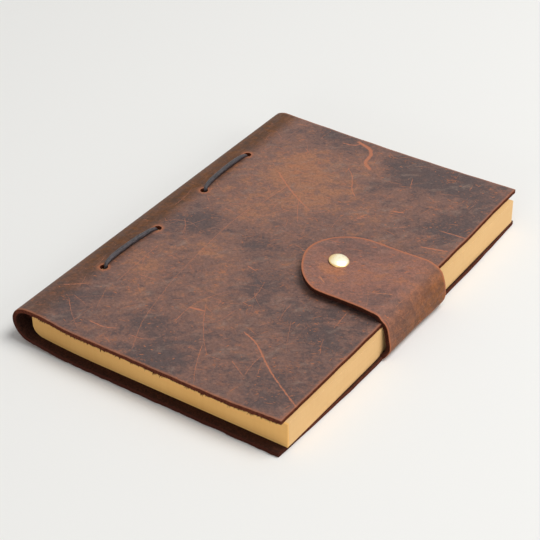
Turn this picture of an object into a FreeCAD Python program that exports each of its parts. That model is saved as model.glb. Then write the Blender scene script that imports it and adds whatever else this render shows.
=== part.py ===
"""Leather journal: a page block stitched into one wrapped hide, closed by a strap with a press stud.

The hide runs from the front cover, round a hollow spine, to the back cover. The closing strap is cut
in one with the back cover: it comes up round the fore edge and lies over the front cover. The strap
is split into three nodes at its two bends, where the leather folds when the journal is opened.

Frame: millimetres, +Z up. The origin is on the table, under the middle of the page block. The spine
is at -X, the fore edge at +X, the tail at -Y and the head at +Y.
"""
import FreeCAD
import Part
import os
from math import acos, asin, cos, degrees, hypot, radians, sin, sqrt

# ---- page block -------------------------------------------------------------------------------
BLOCK_WIDTH = 143.2          # spine to fore edge
BLOCK_LENGTH = 210.0         # tail to head
BLOCK_THICKNESS = 13.1       # all pages together
BLOCK_CORNER_RADIUS = 5.5    # lower spine corner, worn round

# ---- hide -------------------------------------------------------------------------------------
LEATHER = 2.26               # thickness of the hide
HIDE_TURN = -0.42            # degrees that the hide lies turned round the block, seen from above
BACK_TAIL_OVERHANG = 5.8     # back cover beyond the block's tail
BACK_HEAD_OVERHANG = 2.0     # back cover beyond the block's head
FRONT_TAIL_OVERHANG = 1.9    # front cover beyond the block's tail
FRONT_HEAD_OVERHANG = 7.6    # front cover beyond the block's head
FRONT_SETBACK = 1.5          # front cover's fore edge, inside the block's
BACK_OVERHANG = 2.3          # back cover's hand-cut fore edge, outside the block's at the strap
BACK_BOW = 2.5               # how much less that edge stands out at its corners
COVER_CORNER_RADIUS = 1.2

# ---- hollow spine, from the table upwards, on the middle of the hide ----------------------------
SPINE_BULGE = 9.5            # outside of the hide beyond the block's spine
RISE_RADIUS = 320.0          # the long gentle rise over the stitches
RISE_TURN = 6.2              # degrees turned by that rise
LOWER_TURN = 46.0            # heading where the lower curve meets the nose
NOSE_TURN = 157.0            # heading where the nose meets the upper curve
LOWER_SHARE = 2.97           # lower curve's radius, for a nose of one
UPPER_SHARE = 2.37           # upper curve's radius, for a nose of one

# ---- stitches -----------------------------------------------------------------------------------
CORD_DIAMETER = 2.4
HOLE_DIAMETER = 3.5
HOLE_PITCH = 41.2            # even spacing of the four holes
HOLE_MARGIN = 7.0            # holes' line, in from the block's spine
HOLE_STRAYS = (-0.4, 1.2, 0.2, -0.9)    # each hand-punched hole, off that line
CORD_BEND_RADIUS = 2.4       # the tight turn into a hole
CORD_BEDDING = 0.5           # depth the cord is pulled into the front cover
CORD_TABLE_GAP = 0.05        # lowest point of the cord above the table
CORD_CLEARANCE = 0.05        # between the cord and the leather pressed round it

# ---- closing strap --------------------------------------------------------------------------------
STRAP_WIDTH = 50.4
STRAP_SIDEWAYS = 0.6         # strap's axis, from the middle of the block towards the head
STRAP_STANDOFF = 5.3         # outside of the strap beyond the block's fore edge
LOWER_BEND_RADIUS = 5.5      # outside of the bend at the table
UPPER_BEND_RADIUS = 11.5     # outside of the bend over the front cover
FLAP_GAP = 2.6               # flap's underside above the front cover, set by the closed press stud
FLAP_REACH = 58.9            # flap's end, in from the block's fore edge
ROOT_FILLET_RADIUS = 4.0     # where the strap leaves the back cover's edge
HINGE_GAP = 0.15             # between the two halves of the leather at a bend
FLAP_HEAD_TURN = 80.0        # degrees of the round end with the strap's half width as its radius
FLAP_NOSE_RADIUS = 10.0      # tighter curve at the middle of the end
FLAP_NOSE_TURN = 22.0
FLAP_SLANT_TURN = 46.0       # long, flatter curve on the tail side of the end
FLAP_HEEL_RADIUS = 14.5      # curve back to the strap's straight side

# ---- press stud -----------------------------------------------------------------------------------
SNAP_INSET = 18.8            # its axis, in from the flap's end
SNAP_SIDEWAYS = 0.9          # its axis, from the strap's towards the head
CAP_RADIUS = 5.15
CAP_HEIGHT = 1.8
CAP_RIM = 0.5
CAP_SHOULDER_RADIUS = 3.2    # a ring on the dome between its top and its rim
CAP_SHOULDER_HEIGHT = 1.5
POST_RADIUS = 1.6            # cap's hollow post
POST_WALL = 0.35
STUD_BASE_RADIUS = 4.4
STUD_BASE = 0.4
STUD_NECK_RADIUS = 2.15
STUD_KNOB_RADIUS = 2.5
STUD_WAIST = 0.4             # length of the neck
STUD_HEIGHT = 1.65
SOCKET_RADIUS = 4.7
SOCKET_ROOF = 0.45
SOCKET_RIM_RADIUS = 0.4
SNAP_CLEARANCE = 0.3         # all round the stud inside the socket
SNAP_SEAT_GAP = 0.15         # between socket and stud base
EYELET_RADIUS = 4.2
EYELET_FLANGE = 0.45
EYELET_TUBE_RADIUS = 1.4
METAL_WALL = 0.3

# ---- worked out -----------------------------------------------------------------------------------
HALF_LEATHER = LEATHER / 2
SPINE_X = -BLOCK_WIDTH / 2
FORE_X = BLOCK_WIDTH / 2
BLOCK_TOP = LEATHER + BLOCK_THICKNESS
COVER_TOP = BLOCK_TOP + LEATHER
FLAP_UNDER = COVER_TOP + FLAP_GAP
FLAP_TOP = FLAP_UNDER + LEATHER
FRONT_EDGE_X = FORE_X - FRONT_SETBACK
BACK_EDGE_X = FORE_X + BACK_OVERHANG
STRAP_OUT_X = FORE_X + STRAP_STANDOFF
FLAP_END_X = FORE_X - FLAP_REACH
SNAP_X = FLAP_END_X + SNAP_INSET
STRAP_Y = STRAP_SIDEWAYS
SNAP_Y = STRAP_Y + SNAP_SIDEWAYS


def vector(x, y, z):
    return FreeCAD.Vector(x, y, z)


def side_point(x, z):
    """A point of the side view, on the plane Y = 0."""
    return vector(x, 0, z)


class Trail:
    """A line in the side view, walked as straight runs and arcs, that a strip of leather follows.

    The heading is in degrees: 0 points along -X, 90 along +Z and 180 along +X for turns of +1.
    With side = -1 the walk is mirrored: 0 points along +X, 90 along +Z and 180 along -X.
    """

    def __init__(self, x, z, heading=0.0, side=1):
        self.x = x
        self.z = z
        self.heading = heading
        self.side = side
        self.pieces = []

    def place(self, offset):
        """The present point, moved off the trail towards the inside of its turns."""
        turn = radians(self.heading)
        return side_point(self.x + self.side * offset * sin(turn), self.z + offset * cos(turn))

    def mark(self):
        return self.place(-HALF_LEATHER), self.place(HALF_LEATHER)

    def run(self, length):
        """Walk straight on."""
        start = self.mark()
        turn = radians(self.heading)
        self.x -= self.side * length * cos(turn)
        self.z += length * sin(turn)
        end = self.mark()
        self.pieces.append((start, None, end))

    def arc(self, radius, to_heading):
        """Walk round an arc until the heading is reached."""
        start = self.mark()
        from_heading = self.heading
        centre_x = self.x + self.side * radius * sin(radians(from_heading))
        centre_z = self.z + radius * cos(radians(from_heading))
        marks = []
        for heading in ((from_heading + to_heading) / 2, to_heading):
            self.heading = heading
            self.x = centre_x - self.side * radius * sin(radians(heading))
            self.z = centre_z - radius * cos(radians(heading))
            marks.append(self.mark())
        self.pieces.append((start, marks[0], marks[1]))

    def strip(self, low_y, high_y):
        """The leather along the trail, as a solid from low_y to high_y."""
        outer = []
        inner = []
        for start, middle, end in self.pieces:
            for edges, i in ((outer, 0), (inner, 1)):
                if middle is None:
                    edges.append(Part.makeLine(start[i], end[i]))
                else:
                    edges.append(Part.Arc(start[i], middle[i], end[i]).toShape())
        first = self.pieces[0][0]
        last = self.pieces[-1][2]
        ends = [Part.makeLine(first[0], first[1]), Part.makeLine(last[0], last[1])]
        wire = Part.Wire(Part.__sortEdges__(outer + inner + ends))
        return extruded(wire, low_y, high_y)


def extruded(wire, low_y, high_y):
    """A closed side-view outline as a solid between two planes across the length."""
    face = Part.Face(wire)
    face.translate(vector(0, low_y, 0))
    return face.extrude(vector(0, high_y - low_y, 0))


def box(low, high):
    return Part.makeBox(high[0] - low[0], high[1] - low[1], high[2] - low[2], vector(*low))


def post(radius, centre_x, centre_y, low_z, high_z):
    return Part.makeCylinder(radius, high_z - low_z, vector(centre_x, centre_y, low_z))


def turned(points, centre_x, centre_y):
    """A turned part from its half section, a list of (radius, height) corners.

    A corner given as (radius, height, radius, height) is an arc through its first point to its second.
    """
    edges = []
    here = points[0]
    for corner in points[1:] + points[:1]:
        start = vector(centre_x + here[-2], centre_y, here[-1])
        end = vector(centre_x + corner[-2], centre_y, corner[-1])
        if len(corner) == 4:
            middle = vector(centre_x + corner[0], centre_y, corner[1])
            edges.append(Part.Arc(start, middle, end).toShape())
        else:
            edges.append(Part.makeLine(start, end))
        here = corner
    return Part.Face(Part.Wire(edges)).revolve(vector(centre_x, centre_y, 0), vector(0, 0, 1), 360)


# ---- side-view curve of the hollow spine ----------------------------------------------------------
def spine_nose_radius():
    """The nose radius, on the middle of the hide, that brings the loop up to the front cover."""
    rise = RISE_RADIUS * (1 - cos(radians(RISE_TURN)))
    height = BLOCK_THICKNESS + LEATHER - rise
    share = (LOWER_SHARE * (cos(radians(RISE_TURN)) - cos(radians(LOWER_TURN)))
             + cos(radians(LOWER_TURN)) - cos(radians(NOSE_TURN))
             + UPPER_SHARE * (1 + cos(radians(NOSE_TURN))))
    return height / share


NOSE_RADIUS = spine_nose_radius()
LOWER_RADIUS = LOWER_SHARE * NOSE_RADIUS
UPPER_RADIUS = UPPER_SHARE * NOSE_RADIUS
LOOP_REACH = (LOWER_RADIUS * (sin(radians(LOWER_TURN)) - sin(radians(RISE_TURN)))
              + NOSE_RADIUS * (1 - sin(radians(LOWER_TURN))))
RISE_START_X = (SPINE_X - SPINE_BULGE + HALF_LEATHER + LOOP_REACH
                + RISE_RADIUS * sin(radians(RISE_TURN)))


def trimmed_ends():
    """The space left to the hide between its trimmed tail and head edges, which lean."""
    low_x = SPINE_X - 2 * SPINE_BULGE
    high_x = STRAP_OUT_X + STRAP_WIDTH
    plans = []
    for z in (-LEATHER, COVER_TOP + LEATHER):
        rise = z / COVER_TOP
        tail_overhang = BACK_TAIL_OVERHANG + (FRONT_TAIL_OVERHANG - BACK_TAIL_OVERHANG) * rise
        head_overhang = BACK_HEAD_OVERHANG + (FRONT_HEAD_OVERHANG - BACK_HEAD_OVERHANG) * rise
        tail = -BLOCK_LENGTH / 2 - tail_overhang
        head = BLOCK_LENGTH / 2 + head_overhang
        corners = [vector(low_x, tail, z), vector(high_x, tail, z),
                   vector(high_x, head, z), vector(low_x, head, z)]
        plans.append(Part.makePolygon(corners + corners[:1]))
    return Part.makeLoft(plans, True, True)


def beyond_the_bow():
    """The space that the back cover's bowed fore edge keeps clear of."""
    corners = [vector(BACK_EDGE_X - 4 * BACK_BOW, end * BLOCK_LENGTH, -LEATHER) for end in (-1, 1)]
    outer = [vector(STRAP_OUT_X + STRAP_WIDTH, end * BLOCK_LENGTH, -LEATHER) for end in (-1, 1)]
    bow = Part.Arc(corners[0], vector(BACK_EDGE_X, 0, -LEATHER), corners[1]).toShape()
    sides = Part.makePolygon([corners[1], outer[1], outer[0], corners[0]])
    return Part.Face(Part.Wire([bow] + sides.Edges)).extrude(vector(0, 0, BLOCK_TOP))


def round_corners(hide):
    """Round the four upright corner edges of the covers, which are the short ones at the fore edge."""
    picked = [edge for edge in hide.Edges
              if edge.CenterOfMass.x > FRONT_EDGE_X - COVER_CORNER_RADIUS
              and edge.Length < 2 * LEATHER]
    return hide.makeFillet(COVER_CORNER_RADIUS, picked)


def make_front_and_back():
    """The two covers and the hollow spine between them, before holes and strap."""
    trail = Trail(BACK_EDGE_X, HALF_LEATHER)
    trail.run(BACK_EDGE_X - RISE_START_X)
    trail.arc(RISE_RADIUS, RISE_TURN)
    trail.arc(LOWER_RADIUS, LOWER_TURN)
    trail.arc(NOSE_RADIUS, NOSE_TURN)
    trail.arc(UPPER_RADIUS, 180)
    trail.run(FRONT_EDGE_X - trail.x)
    hide = trail.strip(-BLOCK_LENGTH, BLOCK_LENGTH).common(trimmed_ends()).cut(beyond_the_bow())
    hide = round_corners(hide)
    hide.rotate(vector(0, 0, 0), vector(0, 0, 1), HIDE_TURN)
    return hide


# ---- closing strap ----------------------------------------------------------------------------------
LOWER_MID = LOWER_BEND_RADIUS - HALF_LEATHER
UPPER_MID = UPPER_BEND_RADIUS - HALF_LEATHER
LOWER_CENTRE = (STRAP_OUT_X - LOWER_BEND_RADIUS, LOWER_BEND_RADIUS)
UPPER_CENTRE = (STRAP_OUT_X - UPPER_BEND_RADIUS, FLAP_TOP - UPPER_BEND_RADIUS)
DIAGONAL = sqrt(0.5)
LOWER_HINGE = (LOWER_CENTRE[0] + LOWER_MID * DIAGONAL, LOWER_CENTRE[1] - LOWER_MID * DIAGONAL)
UPPER_HINGE = (UPPER_CENTRE[0] + UPPER_MID * DIAGONAL, UPPER_CENTRE[1] + UPPER_MID * DIAGONAL)
STRAP_LOW_Y = STRAP_Y - STRAP_WIDTH / 2
STRAP_HIGH_Y = STRAP_Y + STRAP_WIDTH / 2
ROOT_HALF = STRAP_WIDTH / 2 + ROOT_FILLET_RADIUS


def stop_short(mid_radius):
    """Degrees of bend given up to leave room for the round edge of the other half."""
    return degrees(asin((HALF_LEATHER + HINGE_GAP) / mid_radius))


def round_edge(hinge):
    """The half-round edge that turns in a bend: its axis is where the leather folds."""
    return Part.makeCylinder(HALF_LEATHER, 2 * ROOT_HALF,
                             vector(hinge[0], STRAP_Y - ROOT_HALF, hinge[1]), vector(0, 1, 0))


def root_outline():
    """Front view of the strap above its root, with the curves where it leaves the back cover."""
    high = FLAP_TOP + LEATHER
    spring = LOWER_BEND_RADIUS + LEATHER / 2
    drop = spring - ROOT_FILLET_RADIUS
    corners = []
    for sign in (-1, 1):
        edge_y = STRAP_Y + sign * STRAP_WIDTH / 2
        foot_y = STRAP_Y + sign * ROOT_HALF
        waist = vector(0, edge_y, spring)
        knee = vector(0, edge_y + sign * ROOT_FILLET_RADIUS * (1 - DIAGONAL),
                      spring - ROOT_FILLET_RADIUS * DIAGONAL)
        corners.append((vector(0, edge_y, high), waist, knee, vector(0, foot_y, drop),
                        vector(0, foot_y, -LEATHER)))
    near, far = corners
    edges = [Part.makeLine(near[0], near[1]), Part.Arc(near[1], near[2], near[3]).toShape(),
             Part.makeLine(near[3], near[4]), Part.makeLine(near[4], far[4]),
             Part.makeLine(far[4], far[3]), Part.Arc(far[3], far[2], far[1]).toShape(),
             Part.makeLine(far[1], far[0]), Part.makeLine(far[0], near[0])]
    face = Part.Face(Part.Wire(edges))
    face.translate(vector(FRONT_EDGE_X - UPPER_BEND_RADIUS, 0, 0))
    return face.extrude(vector(2 * STRAP_WIDTH, 0, 0))


def flap_outline():
    """Plan of the flap: straight sides and a hand-cut end, rounder towards the head."""
    half = STRAP_WIDTH / 2
    turns = (FLAP_HEAD_TURN, FLAP_HEAD_TURN + FLAP_NOSE_TURN,
             FLAP_HEAD_TURN + FLAP_NOSE_TURN + FLAP_SLANT_TURN, 180)
    falls = [cos(radians(low)) - cos(radians(high)) for low, high in zip((0,) + turns, turns)]
    slant_radius = (STRAP_WIDTH - half * falls[0] - FLAP_NOSE_RADIUS * falls[1]
                    - FLAP_HEEL_RADIUS * falls[3]) / falls[2]
    radii = (half, FLAP_NOSE_RADIUS, slant_radius, FLAP_HEEL_RADIUS)
    x = FLAP_END_X + half
    y = STRAP_HIGH_Y
    level = COVER_TOP
    shoulder_x = STRAP_OUT_X + LEATHER
    edges = [Part.makeLine(vector(shoulder_x, y, level), vector(x, y, level))]
    here = 0
    for radius, turn in zip(radii, turns):
        centre = (x + radius * sin(radians(here)), y - radius * cos(radians(here)))
        points = []
        for angle in (here, (here + turn) / 2, turn):
            points.append(vector(centre[0] - radius * sin(radians(angle)),
                                 centre[1] + radius * cos(radians(angle)), level))
        edges.append(Part.Arc(*points).toShape())
        x, y, here = points[2].x, points[2].y, turn
    edges.append(Part.makeLine(vector(x, y, level), vector(shoulder_x, y, level)))
    edges.append(Part.makeLine(vector(shoulder_x, y, level), vector(shoulder_x, STRAP_HIGH_Y, level)))
    face = Part.Face(Part.Wire(edges))
    return face.extrude(vector(0, 0, FLAP_TOP + LEATHER - COVER_TOP))


def make_strap_root():
    """The part of the strap that stays with the back cover, up to the lower bend's split."""
    trail = Trail(LOWER_CENTRE[0] - STRAP_WIDTH / 2, HALF_LEATHER, side=-1)
    trail.run(STRAP_WIDTH / 2)
    trail.arc(LOWER_MID, 45 - stop_short(LOWER_MID))
    return trail.strip(STRAP_Y - ROOT_HALF, STRAP_Y + ROOT_HALF).common(root_outline())


def make_closure_strap():
    """The upright wall of the strap, from one bend's middle to the other's."""
    trail = Trail(*LOWER_HINGE, heading=45, side=-1)
    trail.arc(LOWER_MID, 90)
    trail.run(UPPER_CENTRE[1] - LOWER_CENTRE[1])
    trail.arc(UPPER_MID, 135 - stop_short(UPPER_MID))
    wall = trail.strip(STRAP_Y - ROOT_HALF, STRAP_Y + ROOT_HALF)
    return wall.fuse(round_edge(LOWER_HINGE)).common(root_outline()).removeSplitter()


def make_closure_flap():
    """The flap from the middle of the upper bend to its hand-cut end, with the cap's hole."""
    trail = Trail(*UPPER_HINGE, heading=135, side=-1)
    trail.arc(UPPER_MID, 180)
    trail.run(UPPER_CENTRE[0] - FLAP_END_X + LEATHER)
    flap = trail.strip(STRAP_Y - ROOT_HALF, STRAP_Y + ROOT_HALF)
    flap = flap.fuse(round_edge(UPPER_HINGE)).common(flap_outline()).removeSplitter()
    return flap.cut(post(POST_RADIUS, SNAP_X, SNAP_Y, COVER_TOP, FLAP_TOP + LEATHER))


# ---- stitches ---------------------------------------------------------------------------------------
FIRST_HOLE_Y = (FRONT_HEAD_OVERHANG - FRONT_TAIL_OVERHANG - 3 * HOLE_PITCH) / 2
HOLES = [vector(SPINE_X + HOLE_MARGIN + stray, FIRST_HOLE_Y + i * HOLE_PITCH, 0)
         for i, stray in enumerate(HOLE_STRAYS)]
STITCHES = {"tail": (HOLES[0], HOLES[1]), "head": (HOLES[2], HOLES[3])}
LEG_SHIFT = (HOLE_DIAMETER - CORD_DIAMETER) / 2 - CORD_CLEARANCE
CORD_HIGH_Z = COVER_TOP - CORD_BEDDING + CORD_DIAMETER / 2
CORD_LOW_Z = CORD_TABLE_GAP + CORD_DIAMETER / 2


def cord_loop(stitch, diameter):
    """One stitch as a closed loop through two holes, drawn tight to their inner sides."""
    first_hole, last_hole = stitch
    along = (last_hole - first_hole).normalize()
    bend = CORD_BEND_RADIUS
    up = vector(0, 0, bend)
    near_leg = first_hole + along * LEG_SHIFT
    far_leg = last_hole - along * LEG_SHIFT
    middle = (near_leg + far_leg) * 0.5 + vector(0, 0, CORD_LOW_Z)
    turns = []
    for leg, inward in ((near_leg, along * bend), (far_leg, along * -bend)):
        for level, rise in ((CORD_LOW_Z, up), (CORD_HIGH_Z, -up)):
            centre = leg + inward + vector(0, 0, level) + rise
            turns.append((centre - rise, centre - (inward + rise) * DIAGONAL, centre - inward))
    low_near, high_near, low_far, high_far = turns
    edges = []
    here = middle
    for start, knee, end in (low_near, high_near[::-1], high_far, low_far[::-1]):
        edges.append(Part.makeLine(here, start))
        edges.append(Part.Arc(start, knee, end).toShape())
        here = end
    edges.append(Part.makeLine(here, middle))
    ring = Part.Wire(Part.makeCircle(diameter / 2, middle, along))
    return Part.Wire(edges).makePipeShell([ring], True, False)


def cut_holes(shape):
    """Punch the four holes and press the stitches' beds."""
    for hole in HOLES:
        shape = shape.cut(post(HOLE_DIAMETER / 2, hole.x, hole.y, -LEATHER, COVER_TOP + LEATHER))
    for stitch in STITCHES.values():
        shape = shape.cut(cord_loop(stitch, CORD_DIAMETER + 2 * CORD_CLEARANCE))
    return shape


# ---- page block ---------------------------------------------------------------------------------------
def make_page_block():
    """The pages as one solid: its underside follows the back cover's rise to a rounded corner."""
    rise_centre = (RISE_START_X, HALF_LEATHER + RISE_RADIUS)
    under_radius = RISE_RADIUS - HALF_LEATHER
    corner = BLOCK_CORNER_RADIUS
    corner_x = SPINE_X + corner
    reach = under_radius - corner
    corner_z = rise_centre[1] - sqrt(reach ** 2 - (rise_centre[0] - corner_x) ** 2)
    away = ((corner_x - rise_centre[0]) / reach, (corner_z - rise_centre[1]) / reach)
    touch = side_point(corner_x + corner * away[0], corner_z + corner * away[1])
    half_turn = ((away[0] - 1) / 2, away[1] / 2)
    size = hypot(*half_turn)
    knee = side_point(corner_x + corner * half_turn[0] / size, corner_z + corner * half_turn[1] / size)
    halfway = asin((RISE_START_X - touch.x) / under_radius) / 2
    under = side_point(RISE_START_X - under_radius * sin(halfway),
                       rise_centre[1] - under_radius * cos(halfway))
    flat = side_point(RISE_START_X, LEATHER)
    spine_foot = side_point(SPINE_X, corner_z)
    edges = [Part.makeLine(side_point(FORE_X, LEATHER), flat),
             Part.Arc(flat, under, touch).toShape(),
             Part.Arc(touch, knee, spine_foot).toShape(),
             Part.makeLine(spine_foot, side_point(SPINE_X, BLOCK_TOP)),
             Part.makeLine(side_point(SPINE_X, BLOCK_TOP), side_point(FORE_X, BLOCK_TOP)),
             Part.makeLine(side_point(FORE_X, BLOCK_TOP), side_point(FORE_X, LEATHER))]
    block = extruded(Part.Wire(edges), -BLOCK_LENGTH / 2, BLOCK_LENGTH / 2)
    return cut_holes(block.cut(make_front_and_back()))


# ---- press stud -----------------------------------------------------------------------------------------
def make_snap_cap():
    """Domed cap with its rim rolled under and its hollow post clenched under the socket's roof."""
    low = FLAP_TOP
    roof_under = FLAP_UNDER - SOCKET_ROOF
    inner = POST_RADIUS - POST_WALL
    lip = POST_RADIUS + METAL_WALL
    points = [(0, low + CAP_HEIGHT),
              (CAP_SHOULDER_RADIUS, low + CAP_SHOULDER_HEIGHT, CAP_RADIUS, low + CAP_RIM),
              (CAP_RADIUS - CAP_RIM / 2 * (1 - DIAGONAL), low + CAP_RIM / 2 * (1 - DIAGONAL),
               CAP_RADIUS - CAP_RIM / 2, low),
              (POST_RADIUS, low),
              (POST_RADIUS, roof_under),
              (lip, roof_under),
              (lip, roof_under - METAL_WALL),
              (inner, roof_under - METAL_WALL),
              (inner, low + CAP_RIM),
              (0, low + CAP_RIM)]
    return turned(points, SNAP_X, SNAP_Y)


def make_snap_socket():
    """Cup under the flap, open downwards, that closes over the stud."""
    high = FLAP_UNDER
    low = COVER_TOP + STUD_BASE + SNAP_SEAT_GAP
    bore = STUD_KNOB_RADIUS + SNAP_CLEARANCE
    soft = SOCKET_RIM_RADIUS
    points = [(POST_RADIUS, high),
              (SOCKET_RADIUS - soft, high),
              (SOCKET_RADIUS - soft * (1 - DIAGONAL), high - soft * (1 - DIAGONAL),
               SOCKET_RADIUS, high - soft),
              (SOCKET_RADIUS, low + soft),
              (SOCKET_RADIUS - soft * (1 - DIAGONAL), low + soft * (1 - DIAGONAL),
               SOCKET_RADIUS - soft, low),
              (bore, low),
              (bore, high - SOCKET_ROOF),
              (POST_RADIUS, high - SOCKET_ROOF)]
    return turned(points, SNAP_X, SNAP_Y)


def make_snap_stud():
    """Stud on the front cover: flat base, waisted neck and rounded knob, hollow for the eyelet."""
    low = COVER_TOP
    neck_z = low + STUD_BASE
    top = low + STUD_HEIGHT
    waist_z = neck_z + STUD_WAIST
    points = [(EYELET_TUBE_RADIUS, low),
              (STUD_BASE_RADIUS, low),
              (STUD_BASE_RADIUS, neck_z),
              (STUD_NECK_RADIUS, neck_z),
              (STUD_NECK_RADIUS, waist_z),
              (STUD_KNOB_RADIUS, (waist_z + top) / 2, STUD_NECK_RADIUS, top),
              (EYELET_TUBE_RADIUS, top)]
    return turned(points, SNAP_X, SNAP_Y)


def make_snap_eyelet():
    """Eyelet let into the front cover's inside: its tube holds the stud."""
    low = BLOCK_TOP
    top = COVER_TOP + STUD_HEIGHT
    inner = EYELET_TUBE_RADIUS - METAL_WALL
    points = [(inner, low),
              (EYELET_RADIUS, low),
              (EYELET_RADIUS, low + EYELET_FLANGE),
              (EYELET_TUBE_RADIUS, low + EYELET_FLANGE),
              (EYELET_TUBE_RADIUS, top),
              (inner, top)]
    return turned(points, SNAP_X, SNAP_Y)


# ---- the hide with all its cuts -------------------------------------------------------------------------
def make_leather_cover():
    """Front cover, hollow spine, back cover and the strap's root as one piece of hide."""
    hide = make_front_and_back()
    notch = box((LOWER_CENTRE[0], STRAP_Y - ROOT_HALF, -LEATHER),
                (STRAP_OUT_X + LEATHER, STRAP_Y + ROOT_HALF, LOWER_CENTRE[1]))
    hide = hide.cut(notch).fuse(make_strap_root()).removeSplitter()
    hide = cut_holes(hide)
    hide = hide.cut(post(EYELET_TUBE_RADIUS, SNAP_X, SNAP_Y, BLOCK_TOP, COVER_TOP + LEATHER))
    return hide.cut(post(EYELET_RADIUS, SNAP_X, SNAP_Y, BLOCK_TOP - LEATHER, BLOCK_TOP + EYELET_FLANGE))


def save(name, shape):
    shape.exportStep("parts/" + name + ".step")
    print(name, shape.isValid(), len(shape.Solids), round(shape.Volume, 1), shape.BoundBox)


os.makedirs("parts", exist_ok=True)
save("leather_cover", make_leather_cover())
save("closure_strap", make_closure_strap())
save("closure_flap", make_closure_flap())
save("page_block", make_page_block())
for end, stitch in STITCHES.items():
    save("binding_cord_" + end, cord_loop(stitch, CORD_DIAMETER))
save("snap_cap", make_snap_cap())
save("snap_socket", make_snap_socket())
save("snap_stud", make_snap_stud())
save("snap_eyelet", make_snap_eyelet())
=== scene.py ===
"""Looks of the leather journal: hide, strap, stitches, stud and pages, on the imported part.

The part's frame holds throughout: the origin is on the table under the middle of the page block,
+X is the fore edge, +Y the head and +Z up. Sizes in this file are in millimetres; the meshes are
made in metres.
"""
import logging
import math
import random
from contextlib import contextmanager
from dataclasses import dataclass, field
from enum import Enum
from functools import partial, reduce
from itertools import product
from typing import Callable, ClassVar, Iterable, Iterator, Mapping, Optional, Sequence

import bpy
from mathutils import Matrix, Vector, kdtree, noise


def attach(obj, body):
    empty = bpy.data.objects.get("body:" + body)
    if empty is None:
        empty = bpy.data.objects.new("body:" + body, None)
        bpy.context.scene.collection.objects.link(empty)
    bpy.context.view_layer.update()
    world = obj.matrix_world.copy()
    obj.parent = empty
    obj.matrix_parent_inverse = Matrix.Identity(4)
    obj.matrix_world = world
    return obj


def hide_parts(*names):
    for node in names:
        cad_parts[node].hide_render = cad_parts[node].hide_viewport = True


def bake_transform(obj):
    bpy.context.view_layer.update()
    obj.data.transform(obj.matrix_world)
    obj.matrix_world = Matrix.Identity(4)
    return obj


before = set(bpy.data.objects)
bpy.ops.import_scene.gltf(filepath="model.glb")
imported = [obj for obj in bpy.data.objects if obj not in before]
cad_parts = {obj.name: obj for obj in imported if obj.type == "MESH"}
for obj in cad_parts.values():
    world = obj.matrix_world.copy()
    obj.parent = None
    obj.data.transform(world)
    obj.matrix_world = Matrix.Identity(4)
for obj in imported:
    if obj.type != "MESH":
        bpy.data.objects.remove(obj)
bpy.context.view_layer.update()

LOG = logging.getLogger("journal")
MM = 0.001
Colour = tuple[float, float, float]
Point = tuple[float, float, float]
Place = tuple[float, float]
Piece = bpy.types.Object
Socket = bpy.types.NodeSocket
Material = bpy.types.Material
Given = Mapping[str, Socket]

# Sizes that more than one piece needs, the same as the part's own.
HIDE_THICKNESS = 2.26
COVER_TOP = 17.62
HALF_BLOCK = 105.0
RISE_START = -34.9106
RISE_RADIUS = 321.13
STUD_CENTRE: Place = (31.5, 1.5)
HOLES: tuple[Place, ...] = ((-65.0, -58.95), (-63.4, -17.75), (-64.4, 23.45), (-65.5, 64.65))

# Limits for shading and rounding, wear along the edges, merging points and layers of scratches.
CREASE_ANGLE = 40.0
ROUNDING_ANGLE = 50.0
FAR_FROM_RIM = 20.0
MERGE_DISTANCE = 0.01
MARK_LAYERS = 5


class Body(Enum):
    """The CAD bodies that pieces ride on."""

    JOURNAL = "journal"
    STRAP = "strap"
    FLAP = "flap"


class Slot(Enum):
    """The record's material slots."""

    LEATHER = "leather"
    PAGES = "pages"
    CORD = "cord"
    STUD = "stud"


class Face(Enum):
    """Which leather surface a polygon shows, in the order of a hide's materials."""

    GRAIN = 0
    FLESH = 1
    EDGE = 2


# ---- small helpers -------------------------------------------------------------------------------
def smooth(value: float, low: float, high: float) -> float:
    """Ease a value from 0 at low to 1 at high.

    Args:
        value: The value to ease.
        low: Where the result leaves 0.
        high: Where the result reaches 1.

    Returns:
        The eased share, from 0 to 1.
    """
    share = min(max((value - low) / (high - low), 0.0), 1.0)
    return share * share * (3 - 2 * share)


def wander(x: float, y: float, seed: float) -> float:
    """Smooth noise from -1 to 1 at a place, different for each seed."""
    return noise.noise(Vector((x, y, seed)))


def deselect() -> None:
    """Leave object mode as the only mode and nothing selected."""
    if bpy.context.object is not None and bpy.context.object.mode != "OBJECT":
        bpy.ops.object.mode_set(mode="OBJECT")
    bpy.ops.object.select_all(action="DESELECT")


def activate(piece: Piece) -> None:
    """Make a piece the only selected and the active object."""
    deselect()
    piece.select_set(True)
    bpy.context.view_layer.objects.active = piece


@contextmanager
def editing(piece: Piece) -> Iterator[None]:
    """Work in a piece's edit mode, and go back to object mode at the end."""
    activate(piece)
    bpy.ops.object.mode_set(mode="EDIT")
    yield
    bpy.ops.object.mode_set(mode="OBJECT")


def settle(piece: Piece) -> None:
    """Move an object's place, turn and scale into its mesh."""
    activate(piece)
    bpy.ops.object.transform_apply(location=True, rotation=True, scale=True)


def add_block(low: Point, high: Point) -> Piece:
    """Add a block between its two corners, in millimetres."""
    deselect()
    bpy.ops.mesh.primitive_cube_add(
        size=1.0, location=tuple((a + b) / 2 * MM for a, b in zip(low, high)))
    block = bpy.context.object
    block.scale = tuple((b - a) * MM for a, b in zip(low, high))
    settle(block)
    return block


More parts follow.
